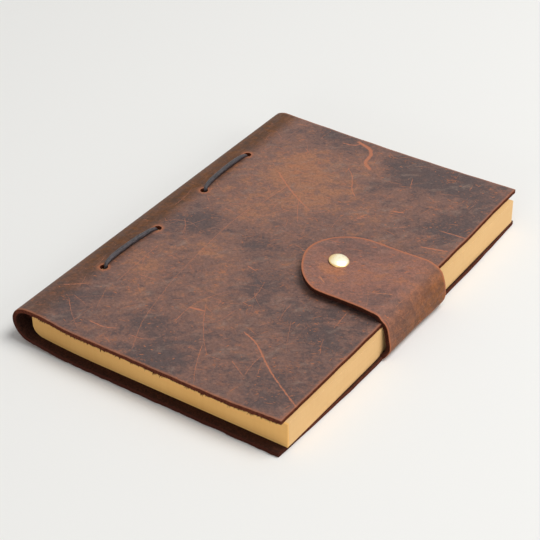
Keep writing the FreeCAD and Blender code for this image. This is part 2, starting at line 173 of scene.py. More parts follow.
def apply_modifier(piece: Piece, kind: str, **settings: object) -> None:
    """Add a modifier with its settings and apply it.

    Args:
        piece: The object that it shapes.
        kind: Blender's name for the modifier type.
        settings: The modifier's settings by name.
    """
    activate(piece)
    modifier = piece.modifiers.new(kind.title(), kind)
    for name, value in settings.items():
        setattr(modifier, name, value)
    bpy.ops.object.modifier_apply(modifier=modifier.name)


def smooth_by_angle(piece: Piece, degrees: float = CREASE_ANGLE) -> None:
    """Shade a piece smooth, but not over edges sharper than an angle."""
    activate(piece)
    bpy.ops.object.shade_smooth_by_angle(angle=math.radians(degrees))


def delete_faces(piece: Piece, wanted: Callable[[Vector], bool]) -> None:
    """Delete some faces of a piece.

    Args:
        piece: The mesh object.
        wanted: Told a face's centre in millimetres, says whether it goes.
    """
    with editing(piece):
        bpy.ops.mesh.select_mode(type="FACE")
        bpy.ops.mesh.select_all(action="DESELECT")
    for polygon in piece.data.polygons:
        polygon.select = wanted(polygon.center / MM)
    with editing(piece):
        bpy.ops.mesh.delete(type="FACE")


def write_number(piece: Piece, name: str, values: Sequence[float]) -> None:
    """Store one number per vertex, for the materials to read."""
    attribute = piece.data.attributes.get(name) or piece.data.attributes.new(name, "FLOAT", "POINT")
    attribute.data.foreach_set("value", values)


def write_vector(piece: Piece, name: str, values: Sequence[Point]) -> None:
    """Store three numbers per vertex, for the materials to read."""
    attribute = piece.data.attributes.new(name, "FLOAT_VECTOR", "POINT")
    attribute.data.foreach_set("vector", [number for value in values for number in value])


# ---- wiring of shader nodes ----------------------------------------------------------------------
class Wiring:
    """A node tree being wired, with a short call for each kind of node that it needs."""

    def __init__(self, tree: bpy.types.NodeTree) -> None:
        """Start wiring an emptied tree."""
        self.tree = tree
        tree.nodes.clear()

    def node(self, kind: str, inputs: Optional[dict] = None, **settings: object) -> bpy.types.Node:
        """Add a node, set it up and feed its sockets.

        Args:
            kind: The node's type.
            inputs: Socket name or index to a constant or to another node's output.
            settings: The node's own settings by name.

        Returns:
            The new node.
        """
        made = self.tree.nodes.new(kind)
        for name, value in settings.items():
            setattr(made, name, value)
        for name, value in (inputs or {}).items():
            if isinstance(value, Socket):
                self.tree.links.new(value, made.inputs[name])
            elif isinstance(value, tuple) and len(value) == 3 and made.inputs[name].type == "RGBA":
                made.inputs[name].default_value = (*value, 1.0)
            else:
                made.inputs[name].default_value = value
        return made

    def maths(self, operation: str, first: object, second: object = 0.0) -> Socket:
        """Combine two numbers, such as by ADD, DIVIDE or MAXIMUM."""
        return self.node("ShaderNodeMath", {0: first, 1: second}, operation=operation).outputs[0]

    def times(self, first: object, second: object) -> Socket:
        """Multiply two numbers."""
        return self.maths("MULTIPLY", first, second)

    def total(self, *terms: tuple[object, float]) -> Socket:
        """Add up numbers, each times its weight."""
        added = None
        for value, weight in terms:
            part = value if weight == 1.0 else self.times(value, weight)
            added = part if added is None else self.maths("ADD", added, part)
        return added

    def greatest(self, values: Iterable[object]) -> Socket:
        """The greatest of some numbers."""
        return reduce(partial(self.maths, "MAXIMUM"), values)

    def vector(self, operation: str, first: object, second: object = (0.0, 0.0, 0.0),
               output: int = 0) -> Socket:
        """Combine two vectors; output 1 gives the number that DISTANCE or DOT_PRODUCT makes."""
        return self.node("ShaderNodeVectorMath", {0: first, 1: second},
                         operation=operation).outputs[output]

    def scaled(self, vector: object, factor: object) -> Socket:
        """Scale a vector by a number."""
        return self.node("ShaderNodeVectorMath", {0: vector, "Scale": factor},
                         operation="SCALE").outputs[0]

    def stretched(self, vector: object, turn: float, scale: Point) -> Socket:
        """Scale a place along axes turned about Z, in degrees, for patterns with a direction."""
        if turn:
            vector = self.node("ShaderNodeVectorRotate",
                               {"Vector": vector, "Angle": -math.radians(turn)},
                               rotation_type="Z_AXIS").outputs[0]
        return self.vector("MULTIPLY", vector, scale)

    def noise(self, vector: object, size: float, detail: float = 3.0, roughness: float = 0.5,
              distortion: float = 0.0, shift: float = 0.0) -> Socket:
        """Noise from 0 to 1 whose blotches are about size across, in the vector's own unit."""
        moved = self.vector("ADD", vector, (shift, shift, shift)) if shift else vector
        return self.node("ShaderNodeTexNoise",
                         {"Vector": moved, "Scale": 1.0 / size, "Detail": detail,
                          "Roughness": roughness, "Distortion": distortion}).outputs["Fac"]

    def band(self, value: object, low: float, high: float, to_low: float = 0.0,
             to_high: float = 1.0) -> Socket:
        """Ease a value into the range to_low to to_high, as it goes from low to high."""
        return self.node("ShaderNodeMapRange",
                         {"Value": value, "From Min": low, "From Max": high, "To Min": to_low,
                          "To Max": to_high}, interpolation_type="SMOOTHSTEP").outputs[0]

    def blend(self, factor: object, low: object, high: object) -> Socket:
        """Mix two colours."""
        return self.node("ShaderNodeMix", {0: factor, 6: low, 7: high},
                         data_type="RGBA").outputs[2]

    def tint(self, colour: object, factor: object) -> Socket:
        """Brighten or darken a colour by a number, in all three channels."""
        grey = self.node("ShaderNodeCombineColor", {0: factor, 1: factor, 2: factor}).outputs[0]
        return self.node("ShaderNodeMix", {0: 1.0, 6: colour, 7: grey}, data_type="RGBA",
                         blend_type="MULTIPLY").outputs[2]

    def attribute(self, name: str, kind: str = "Fac") -> Socket:
        """A number, or with the kind Vector a vector, stored on the piece's vertices."""
        return self.node("ShaderNodeAttribute", attribute_name=name).outputs[kind]

    def parts(self, vector: object) -> tuple[Socket, ...]:
        """The three numbers of a vector."""
        return tuple(self.node("ShaderNodeSeparateXYZ", {0: vector}).outputs)

    def place(self) -> Socket:
        """The point on the piece, in millimetres of the part's frame."""
        coordinates = self.node("ShaderNodeTexCoord").outputs["Object"]
        return self.scaled(coordinates, 1.0 / MM)

    def group(self, tree: bpy.types.NodeTree, inputs: dict) -> Socket:
        """What a shared effect gives for its own values."""
        return self.node("ShaderNodeGroup", inputs, node_tree=tree).outputs[0]

    def surface(self, inputs: dict) -> None:
        """Finish a material with its Principled shader."""
        shader = self.node("ShaderNodeBsdfPrincipled", inputs)
        self.node("ShaderNodeOutputMaterial", {"Surface": shader.outputs[0]})

    def bump(self, height: object, depth: float) -> Socket:
        """A normal from a height; depth is in millimetres for a height of one."""
        return self.node("ShaderNodeBump", {"Height": height, "Strength": 1.0,
                                            "Distance": depth * MM}).outputs[0]


def shared_effect(name: str, numbers: Sequence[str],
                  pattern: Callable[[Wiring, Socket, Given], Socket]) -> bpy.types.NodeTree:
    """Build a node group from a pattern that repeats over the place.

    Args:
        name: The group's name.
        numbers: Its number inputs besides Place; the first is the pattern's size in millimetres.
        pattern: Told the wiring, the place counted in sizes and the inputs, gives the value.

    Returns:
        The group, which gives one value.
    """
    tree = bpy.data.node_groups.new(name, "ShaderNodeTree")
    tree.interface.new_socket("Place", in_out="INPUT", socket_type="NodeSocketVector")
    for number in numbers:
        tree.interface.new_socket(number, in_out="INPUT", socket_type="NodeSocketFloat")
    tree.interface.new_socket("Value", in_out="OUTPUT", socket_type="NodeSocketFloat")
    wiring = Wiring(tree)
    given = wiring.node("NodeGroupInput").outputs
    small = wiring.scaled(given["Place"], wiring.maths("DIVIDE", 1.0, given[numbers[0]]))
    wiring.node("NodeGroupOutput", {"Value": pattern(wiring, small, given)})
    return tree


def nick_pattern(w: Wiring, small: Socket, given: Given) -> Socket:
    """Scattered short scratches, each with its own length, lean and curve.

    Args:
        w: The group's wiring.
        small: The place, counted in spacings.
        given: Length and Width as shares of the spacing, Lean, Spread, and the Share of places
            that has a scratch.

    Returns:
        How strongly a scratch shows, from 0 to 1.
    """
    cells = w.node("ShaderNodeTexVoronoi", {"Vector": small, "Scale": 1.0}, voronoi_dimensions="2D")
    chance = w.node("ShaderNodeSeparateColor", {0: cells.outputs["Color"]}).outputs
    local = w.vector("SUBTRACT", small, cells.outputs["Position"])
    lean = w.times(w.maths("SUBTRACT", chance[0], 0.5), given["Spread"])
    turned = w.node("ShaderNodeVectorRotate",
                    {"Vector": local, "Angle": w.maths("ADD", lean, given["Lean"])},
                    rotation_type="Z_AXIS").outputs[0]
    x, y, _ = w.parts(turned)
    curve = w.times(w.times(x, x), w.maths("SUBTRACT", chance[2], 0.5))
    y = w.maths("DIVIDE", w.maths("ADD", y, curve), given["Width"])
    reach = w.times(given["Length"], w.maths("ADD", 0.35, chance[2]))
    x = w.maths("DIVIDE", x, reach)
    along, across = (w.band(w.maths("ABSOLUTE", value), 0.2, 1.0, 1.0, 0.0) for value in (x, y))
    shown = w.maths("LESS_THAN", chance[1], given["Share"])
    return w.times(w.times(along, across), shown)


def pore_pattern(w: Wiring, small: Socket, _: Given) -> Socket:
    """Leather grain: shallow pebbles with finer grit, as a height from 0 to 1."""
    pebble = w.node("ShaderNodeTexVoronoi", {"Vector": small, "Scale": 1.0}, feature="SMOOTH_F1")
    return w.total((pebble.outputs["Distance"], 0.6), (w.noise(small, 0.6, 2.0), 0.4))


def fibre_pattern(w: Wiring, small: Socket, _: Given) -> Socket:
    """Matted fibres of cut or split leather, as a value from 0 to 1."""
    coarse, fine = w.noise(small, 2.2, 4.0, 0.7, 1.2), w.noise(small, 0.5, 3.0, 0.6, 0.8)
    return w.total((coarse, 0.6), (fine, 0.4))


class SharedEffects:
    """The node groups that more than one material uses, each built once."""

    def __init__(self) -> None:
        """Build every group."""
        self.nicks = shared_effect(
            "nicks", ("Spacing", "Length", "Width", "Lean", "Spread", "Share"), nick_pattern)
        self.pores = shared_effect("pores", ("Size",), pore_pattern)
        self.fibre = shared_effect("fibre", ("Size",), fibre_pattern)


# ---- finishes ------------------------------------------------------------------------------------
@dataclass(frozen=True)
class Finish:
    """What every finish shares: its name and how its material is started."""

    name: str

    def build(self, effects: SharedEffects) -> Material:
        """Make the material.

        Args:
            effects: The shared node groups.

        Returns:
            The finished material.
        """
        material = bpy.data.materials.new(self.name)
        material.use_nodes = True
        wiring = Wiring(material.node_tree)
        self.wire(wiring, wiring.place(), effects)
        return material

    def wire(self, w: Wiring, place: Socket, effects: SharedEffects) -> None:
        """Wire the finish itself.

        Args:
            w: The material's wiring.
            place: The point on the piece, in millimetres.
            effects: The shared node groups.
        """
        raise NotImplementedError


@dataclass(frozen=True)
class GrainLeather(Finish):
    """The oiled, waxed side of the hide: mottled brown that bruises dark and scuffs to tan."""

    dark: Colour
    brown: Colour
    warm: Colour
    charcoal: Colour
    haze: Colour
    tan: Colour
    line: Colour
    gold: Colour
    bruising: float
    scuffing: float
    wear_and_highlight_rim: float
    holes: tuple[Place, ...] = ()
    # Scattered nicks: spacing, then length and width as shares of it, lean, spread, share, strength.
    NICKS: ClassVar = (
        (5.2, 0.24, 0.06, -0.6, 1.7, 0.18, 1.0), (3.1, 0.30, 0.05, -0.5, 2.4, 0.16, 0.9),
        (13.0, 0.36, 0.018, -0.5, 2.4, 0.5, 0.6))

    def wire(self, w: Wiring, place: Socket, effects: SharedEffects) -> None:
        """Mottle, scuff, scratch and rub the grain, and lighten its edges as wear and painted
        highlight.
        """
        lay = w.attribute("lay", "Vector")
        dusk, glow, pull = w.parts(w.attribute("tones", "Vector"))

        medium = w.noise(w.stretched(lay, 28.0, (0.68, 1.0, 1.0)), 4.2, 6.0, 0.64, 0.7, shift=13.0)
        fine = w.noise(lay, 1.3, 4.0, 0.65, 0.4, shift=5.0)
        colour = self.mottle(w, lay, medium, dusk, glow)
        scuff = self.scuffs(w, lay, dusk, glow)
        colour = w.blend(scuff, colour, self.tan)
        streak = w.noise(w.stretched(lay, 0.0, (1.0, 0.22, 1.0)), 2.4, 5.0, 0.7, 0.6, shift=57.0)
        streak = w.band(streak, 0.25, 0.65, 0.65, 1.0)
        gold = w.tint(self.gold, w.band(medium, 0.3, 0.7, 0.65, 1.5))
        colour = w.blend(w.times(pull, streak), colour, gold)
        colour = w.tint(colour, w.band(fine, 0.25, 0.75, 0.76, 1.25))
        speck = w.noise(place, 0.5, 2.0, 0.7, shift=67.0)
        colour = w.tint(colour, w.band(speck, 0.3, 0.7, 0.87, 1.14))
        lines, marks = self.scratches(w, place, lay, effects)
        colour = w.blend(w.band(lines, 0.0, 0.6), colour, self.line)
        marks = w.times(marks, w.band(pull, 0.0, 1.0, 1.0, 0.45))
        colour = w.blend(w.band(marks, 0.0, 0.7), colour, self.tan)
        marks = w.maths("MAXIMUM", lines, marks)
        colour = w.blend(self.edge_wear_and_highlight(w, place), colour, self.tan)

        rough = w.total((w.band(medium, 0.25, 0.75, 0.50, 0.64), 1.0),
                        (w.maths("MAXIMUM", marks, scuff), 0.12))
        pores = w.group(effects.pores, {"Place": place, "Size": 0.75})
        relief = w.total((pores, 0.5), (fine, 0.6), (marks, -0.6))
        w.surface({"Base Color": colour, "Roughness": rough, "Normal": w.bump(relief, 0.13),
                   "Specular IOR Level": 0.26})

    def mottle(self, w: Wiring, lay: Socket, medium: Socket, dusk: Socket,
               glow: Socket) -> Socket:
        """Cloud the brown from dark to warm, bruise it with charcoal and haze it with wax.

        Args:
            w: The material's wiring.
            lay: Place on the unrolled leather.
            medium: Streaky noise in patches of a few millimetres.
            dusk: Where the piece is darker.
            glow: Where it is warmer.

        Returns:
            The colour.
        """
        broad = w.noise(w.stretched(lay, 40.0, (0.5, 1.0, 1.0)), 15.0, 4.0, 0.55, 0.8)
        patch = w.noise(w.stretched(lay, 15.0, (0.85, 1.0, 1.0)), 2.2, 4.0, 0.62, 0.5, shift=37.0)
        depth = w.total((broad, 0.28), (medium, 0.46), (patch, 0.26), (glow, 0.12), (dusk, -0.14))
        colour = w.blend(w.band(depth, 0.38, 0.51), self.dark, self.brown)
        colour = w.blend(w.band(depth, 0.50, 0.66), colour, self.warm)
        bruise = w.noise(w.stretched(lay, 34.0, (0.65, 1.0, 1.0)), 9.0, 6.0, 0.62, 0.8, shift=47.0)
        bruise = w.total((bruise, 1.0), (dusk, 0.23), (glow, -0.23))
        bruise = w.times(w.band(bruise, 0.46, 0.76), self.bruising)
        colour = w.blend(bruise, colour, self.charcoal)
        veil = w.noise(w.stretched(lay, 50.0, (0.5, 1.0, 1.0)), 5.0, 5.0, 0.6, 0.6, shift=17.0)
        return w.blend(w.band(veil, 0.53, 0.74, 0.0, 0.5), colour, self.haze)

    def scuffs(self, w: Wiring, lay: Socket, dusk: Socket, glow: Socket) -> Socket:
        """Rubbed places: soft streaky clouds and small bright flecks."""
        cloud = w.noise(w.stretched(lay, 30.0, (0.7, 1.0, 1.0)), 5.0, 6.0, 0.7, 1.2, shift=71.0)
        cloud = w.total((cloud, 1.0), (glow, 0.07), (dusk, -0.07))
        fleck = w.noise(w.stretched(lay, 20.0, (0.7, 1.0, 1.0)), 1.8, 4.0, 0.7, 1.4, shift=91.0)
        gathered = w.noise(lay, 12.0, 2.0, 0.5, shift=99.0)
        fleck = w.total((fleck, 1.0), (gathered, 0.3))
        both = w.maths("MAXIMUM", w.band(cloud, 0.56, 0.80, 0.0, 0.6),
                       w.band(fleck, 0.73, 0.87, 0.0, 0.8))
        return w.times(both, self.scuffing)

    def scratches(self, w: Wiring, place: Socket, lay: Socket,
                  effects: SharedEffects) -> tuple[Socket, Socket]:
        """Every scratch: the lines laid on the piece, and the scattered nicks.

        Args:
            w: The material's wiring.
            place: Place on the piece.
            lay: Place on the unrolled leather.
            effects: The shared node groups.

        Returns:
            The strength of the laid lines and that of the nicks.
        """
        wobble = w.band(w.noise(place, 1.5, 3.0, 0.6, shift=29.0), 0.3, 0.7, -0.8, 0.8)
        broken = w.band(w.noise(place, 1.0, 3.0, 0.7, shift=23.0), 0.25, 0.6, 0.35, 1.0)
        lines = []
        for layer in range(MARK_LAYERS):
            side, strength, fineness = w.parts(w.attribute(f"marks_{layer}", "Vector"))
            off = w.maths("ABSOLUTE", w.maths("ADD", side, w.times(wobble, fineness)))
            lines.append(w.times(w.band(off, 0.25, 1.15, 1.0, 0.0), strength))
        marks = []
        for spacing, length, width, lean, spread, share, strength in self.NICKS:
            nick = w.group(effects.nicks, {
                "Place": lay, "Spacing": spacing, "Length": length, "Width": width, "Lean": lean,
                "Spread": spread, "Share": share})
            marks.append(w.times(nick, strength))
        return w.times(w.greatest(lines), broken), w.times(w.greatest(marks), broken)

    def edge_wear_and_highlight(self, w: Wiring, place: Socket) -> Socket:
        """Wear and painted highlight along the cut edges, and a rubbed ring round each stitch hole.
        """
        ragged = w.noise(place, 1.7, 4.0, 0.7, shift=83.0)
        rim = w.total((w.attribute("rim"), 1.0), (ragged, 1.1))
        # The rim along each cut edge is lightened as wear and painted highlight; the rings round the
        # holes are wear.
        wear_and_highlight = [w.times(w.band(rim, 0.6, 2.2, 1.0, 0.0), self.wear_and_highlight_rim)]
        for x, y in self.holes:
            away = w.vector("DISTANCE", place, (x, y, COVER_TOP), output=1)
            wear_and_highlight.append(w.band(w.total((away, 1.0), (ragged, 2.4)), 2.8, 5.6, 0.8, 0.0))
        return w.greatest(wear_and_highlight)


@dataclass(frozen=True)
class RawLeather(Finish):
    """Split or cut leather without its grain: the flesh side, or an edge with its top line lightened
    as wear and painted highlight.
    """

    deep: Colour
    fibre: Colour
    wear_and_highlight: Colour
    fibre_size: float
    relief: float
    wear_and_highlight_line: float
    tail_shade_strength: float = 0.0

    def wire(self, w: Wiring, place: Socket, effects: SharedEffects) -> None:
        """Mat the fibres, lighten the top line as wear and painted highlight, and darken the low tail
        edge as painted shade.
        """
        value = w.group(effects.fibre, {"Place": place, "Size": self.fibre_size})
        colour = w.blend(w.band(value, 0.38, 0.68), self.deep, self.fibre)
        # The top line of the edge is lightened as wear and painted highlight.
        line = w.total((w.attribute("rim"), 1.0), (w.noise(place, 1.4, 3.0, 0.6, shift=3.0), 0.8))
        colour = w.blend(w.band(line, 0.35, 0.95, self.wear_and_highlight_line, 0.0), colour, self.wear_and_highlight)
        # Painted shade: the edge goes darker at the tail, below the front cover.
        _, y, z = w.parts(place)
        tail_shade_mask = w.times(w.band(y, -104.0, -96.0, self.tail_shade_strength, 0.0),
                         w.band(z, 10.0, 15.5, 1.0, 0.0))
        colour = w.blend(tail_shade_mask, colour, self.deep)
        w.surface({"Base Color": colour, "Roughness": 0.95, "Normal": w.bump(value, self.relief),
                   "Specular IOR Level": 0.1})


@dataclass(frozen=True)
class PagePaper(Finish):
    """Cut page edges, tinted and burnished, with the sheets just showing as fine lines, and with
    painted shade on the head and tail ends towards the spine.
    """

    light: Colour
    deep: Colour
    end_light: Colour
    end_deep: Colour
    end_y: float = 104.9
    sheet: float = 0.24

    def wire(self, w: Wiring, place: Socket, effects: SharedEffects) -> None:
        """Lay fine lines of sheets, with soft clouds and specks, and paint shade on the ends towards
        the spine.
        """
        layers = w.noise(w.stretched(place, 0.0, (0.012, 0.012, 1.0)), self.sheet, 3.0, 0.6)
        bundles = w.noise(w.stretched(place, 0.0, (0.02, 0.02, 1.0)), 1.9, 2.0, 0.5, shift=8.0)
        cloud = w.noise(place, 26.0, 3.0, 0.55, shift=19.0)
        streaks = w.noise(w.stretched(place, 0.0, (1.0, 1.0, 0.06)), 1.6, 3.0, 0.6, shift=33.0)
        share = w.total((layers, 0.2), (bundles, 0.2), (cloud, 0.4), (streaks, 0.2))
        share = w.band(share, 0.3, 0.68)
        x, y, _ = w.parts(place)
        end = w.band(w.maths("ABSOLUTE", y), self.end_y - 0.3, self.end_y)
        # Painted shade: the head and tail ends darken towards the spine, under the cover's spine.
        dull_and_shade = w.times(end, w.band(x, -70.0, 20.0, 0.24, 0.0))
        colour = w.blend(end, w.blend(share, self.deep, self.light),
                         w.blend(share, self.end_deep, self.end_light))
        speck = w.band(w.noise(place, 0.8, 2.0, 0.6, shift=61.0), 0.70, 0.78, 1.0, 0.9)
        colour = w.tint(colour, w.maths("SUBTRACT", speck, dull_and_shade))
        relief = w.total((layers, 1.0), (bundles, 0.5))
        w.surface({"Base Color": colour, "Roughness": w.band(cloud, 0.3, 0.7, 0.62, 0.74),
                   "Normal": w.bump(relief, 0.035), "Specular IOR Level": 0.2})


@dataclass(frozen=True)
class WaxedCord(Finish):
    """Round waxed cord, nearly black, with lengthwise creases and a soft satin shine."""

    deep: Colour
    light: Colour

    def wire(self, w: Wiring, place: Socket, effects: SharedEffects) -> None:
        """Crease and lump the wax."""
        creases = w.noise(w.stretched(place, 0.0, (1.0, 0.3, 1.0)), 0.9, 5.0, 0.7, 0.6)
        lumps = w.noise(place, 2.2, 3.0, 0.6, shift=7.0)
        mixed = w.total((creases, 0.6), (lumps, 0.4))
        colour = w.blend(w.band(mixed, 0.36, 0.66), self.deep, self.light)
        w.surface({"Base Color": colour, "Roughness": w.band(lumps, 0.3, 0.7, 0.36, 0.52),
                   "Normal": w.bump(mixed, 0.75), "Specular IOR Level": 0.45})


@dataclass(frozen=True)
class StudMetal(Finish):
    """Polished brass plate, a little hazed, with fine rubbing marks, and painted shade on its left
    side and rim.
    """

    bright: Colour
    dull_and_shade: Colour
    roughness: float

    def wire(self, w: Wiring, place: Socket, effects: SharedEffects) -> None:
        """Haze and rub the plate, and paint shade in the dull colour on its left side and rim."""
        haze = w.noise(place, 3.4, 3.0, 0.5)
        rub = w.noise(w.stretched(place, 24.0, (0.12, 1.0, 1.0)), 0.9, 2.0, 0.4, shift=4.0)
        x, _, _ = w.parts(place)
        colour = w.blend(w.times(w.band(haze, 0.4, 0.7), 0.4), self.bright, self.dull_and_shade)
        # Painted shade: the cap's left side, away from the lamps, goes towards the dull colour.
        colour = w.blend(w.band(x, 26.8, 31.5, 0.9, 0.0), colour, self.dull_and_shade)
        # Painted shade: the cap's rim goes to the dull colour.
        away = w.vector("DISTANCE", w.vector("MULTIPLY", place, (1.0, 1.0, 0.0)),
                        (*STUD_CENTRE, 0.0), output=1)
        colour = w.blend(w.band(away, 4.2, 5.1), colour, self.dull_and_shade)
        rough = w.total((w.band(haze, 0.3, 0.7, -0.03, 0.05), 1.0), (rub, 0.05),
                        (self.roughness, 1.0))
        w.surface({"Base Color": colour, "Roughness": rough, "Metallic": 1.0,
                   "Normal": w.bump(rub, 0.0002)})


# ---- leather sheets grown row by row -------------------------------------------------------------
class LeatherStrip:
    """A sheet of leather grown in edit mode from a flat start, along runs and bends in the side view.

    It is grown on its grain side. The heading is in degrees: 0 goes along -X, or along +X with
    side = -1; 90 goes up.
    """

    def __init__(self, name: str, low_x: float, high_x: float, low_y: float, high_y: float,
                 cell_x: float, cell_y: float, side: int = 1) -> None:
        """Lay the flat start on the table and take its free edge.

        Args:
            name: The piece's name.
            low_x: The flat start's lower end.
            high_x: Its upper end.
            low_y: Its tail edge.
            high_y: Its head edge.
            cell_x: Length of a mesh cell along the strip.
            cell_y: Width of a mesh cell across it.
            side: 1 to grow from low_x towards -X, -1 to grow from high_x towards +X.
        """
        self.cell = cell_x
        self.side = side
        self.heading = 0.0
        self.x = low_x if side == 1 else high_x
        self.z = 0.0
        deselect()
        bpy.ops.mesh.primitive_grid_add(
            x_subdivisions=max(1, round((high_x - low_x) / cell_x)),
            y_subdivisions=max(1, round((high_y - low_y) / cell_y)), size=1.0,
            location=((low_x + high_x) / 2 * MM, (low_y + high_y) / 2 * MM, 0.0))
        self.piece = bpy.context.object
        self.piece.name = name
        self.piece.scale = ((high_x - low_x) * MM, (high_y - low_y) * MM, 1.0)
        settle(self.piece)
        mesh = self.piece.data
        for part in (mesh.polygons, mesh.edges, mesh.vertices):
            part.foreach_set("select", [False] * len(part))
        for edge in mesh.edges:
            edge.select = all(abs(mesh.vertices[v].co.x - self.x * MM) < MERGE_DISTANCE * MM
                              for v in edge.vertices)
        bpy.ops.object.mode_set(mode="EDIT")
        bpy.ops.mesh.select_mode(type="EDGE")

    def run(self, length: float, cell: Optional[float] = None) -> "LeatherStrip":
        """Grow straight on by a length, in the strip's own cells or in finer ones."""
        rows = max(1, round(length / (cell or self.cell)))
        turn = math.radians(self.heading)
        step = (-self.side * length * math.cos(turn) / rows, 0.0, length * math.sin(turn) / rows)
        for _ in range(rows):
            bpy.ops.mesh.extrude_edges_move(
                TRANSFORM_OT_translate={"value": tuple(v * MM for v in step)})
        self.x += step[0] * rows
        self.z += step[2] * rows
        return self

    def bend(self, radius: float, to_heading: float, cell: Optional[float] = None) -> "LeatherStrip":
        """Grow round a bend until the heading is reached.

        Args:
            radius: Radius of the grain side.
            to_heading: The heading at the bend's end, in degrees.
            cell: Length of a cell along the bend, where it isn't the strip's own.

        Returns:
            The strip itself.
        """
        start = math.radians(self.heading)
        end = math.radians(to_heading)
        centre = (self.x + self.side * radius * math.sin(start), self.z + radius * math.cos(start))
        rows = max(2, round(radius * (end - start) / (cell or self.cell)))
        bpy.ops.mesh.spin(steps=rows, angle=self.side * (start - end),
                          center=(centre[0] * MM, 0.0, centre[1] * MM), axis=(0.0, 1.0, 0.0))
        self.heading = to_heading
        self.x = centre[0] - self.side * radius * math.sin(end)
        self.z = centre[1] - radius * math.cos(end)
        return self

    def finish(self) -> Piece:
        """Close the growing and turn every face outwards, which is down on the flat start.

        Returns:
            The grown sheet.
        """
        bpy.ops.mesh.select_all(action="SELECT")
        bpy.ops.mesh.remove_doubles(threshold=MERGE_DISTANCE * MM)
        bpy.ops.mesh.normals_make_consistent(inside=False)
        bpy.ops.object.mode_set(mode="OBJECT")
        if self.piece.data.polygons[0].normal.z >= 0:
            with editing(self.piece):
                bpy.ops.mesh.select_all(action="SELECT")
                bpy.ops.mesh.flip_normals()
        return self.piece


def reshape(piece: Piece, move: Callable[[Vector], Vector]) -> None:
    """Push a mesh's points about by hand, each told where it is in millimetres."""
    for vertex in piece.data.vertices:
        vertex.co = move(vertex.co / MM) * MM
    piece.data.update()


def boundary_points(piece: Piece, spacing: float) -> list[Vector]:
    """Points along the open edges of a sheet, in millimetres, no further apart than a spacing."""
    uses: dict[tuple[int, int], int] = {}
    for polygon in piece.data.polygons:
        for key in polygon.edge_keys:
            uses[key] = uses.get(key, 0) + 1
    points = []
    for (first, second), count in uses.items():
        if count == 1:
            start = piece.data.vertices[first].co / MM
            end = piece.data.vertices[second].co / MM
            steps = max(1, math.ceil((end - start).length / spacing))
            points += [start.lerp(end, k / steps) for k in range(steps)]
    return points


def write_distance(piece: Piece, points: Sequence[Vector]) -> None:
    """Store each vertex's distance to the nearest edge point as rim, in millimetres."""
    tree = kdtree.KDTree(len(points))
    for i, point in enumerate(points):
        tree.insert(point, i)
    tree.balance()
    values = [min(tree.find(v.co / MM)[2], FAR_FROM_RIM) for v in piece.data.vertices]
    write_number(piece, "rim", values)


def thicken(piece: Piece, materials: dict[Face, Material],
            edge_round: float) -> None:
    """Give a sheet its materials, its thickness under the grain side and its rounded edges.

    Args:
        piece: The sheet.
        materials: What each of its surfaces shows.
        edge_round: Width of the rounding, in millimetres.
    """
    for face in Face:
        piece.data.materials.append(materials[face])
    apply_modifier(piece, "SOLIDIFY", thickness=HIDE_THICKNESS * MM, offset=-1.0,
                   use_even_offset=True, material_offset=Face.FLESH.value,
                   material_offset_rim=Face.EDGE.value)
    apply_modifier(piece, "BEVEL", width=edge_round * MM, segments=2, limit_method="ANGLE",
                   angle_limit=math.radians(ROUNDING_ANGLE))


@dataclass(frozen=True)
class Drill:
    """A round cutter that goes through leather."""

    x: float
    y: float
    radius: float
    low_z: float
    high_z: float
    sides: int = 28

    def build(self) -> Piece:
        """Make the cutter; cut_away later gives its wall the edge material.

        Returns:
            The cutter object.
        """
        deselect()
        bpy.ops.mesh.primitive_cylinder_add(
            vertices=self.sides, radius=self.radius * MM, depth=(self.high_z - self.low_z) * MM,
            location=(self.x * MM, self.y * MM, (self.low_z + self.high_z) / 2 * MM))
        cutter = bpy.context.object
        settle(cutter)
        return cutter


def cut_away(piece: Piece, cutters: Sequence[Piece]) -> None:
    """Cut other solids out of a piece and discard them; the cuts show the edge material."""
    for cutter in cutters:
        for material in piece.data.materials:
            cutter.data.materials.append(material)
        for polygon in cutter.data.polygons:
            polygon.material_index = Face.EDGE.value
        apply_modifier(piece, "BOOLEAN", object=cutter, operation="DIFFERENCE", solver="EXACT")
        bpy.data.objects.remove(cutter)


def along_path(points: Sequence[Place], share: float) -> Vector:
    """The point a share of the way along a smooth line through some points.

    Args:
        points: The line's points, evenly weighted.
        share: From 0 at its start to 1 at its end.

    Returns:
        The point, by Catmull-Rom interpolation.
    """
    last = len(points) - 1
    position = min(max(share, 0.0), 1.0) * last
    i = min(int(position), last - 1)
    t = position - i
    p0, p1, p2, p3 = (Vector(points[min(max(k, 0), last)]) for k in (i - 1, i, i + 1, i + 2))
    return 0.5 * (2 * p1 + (p2 - p0) * t + (2 * p0 - 5 * p1 + 4 * p2 - p3) * t ** 2
                  + (3 * p1 - 3 * p2 + p3 - p0) * t ** 3)


# ---- scratches laid on the leather ---------------------------------------------------------------
@dataclass(frozen=True)
class Stroke:
    """One scratch on the unrolled leather, with its width and its strength at each end."""

    points: tuple[Place, ...]
    width: float
    start: float = 1.0
    end: float = 1.0

    def line(self) -> list[Vector]:
        """Close points along the scratch."""
        count = 1 if len(self.points) == 2 else 5 * (len(self.points) - 1)
        return [along_path(self.points, k / count).to_3d() for k in range(count + 1)]


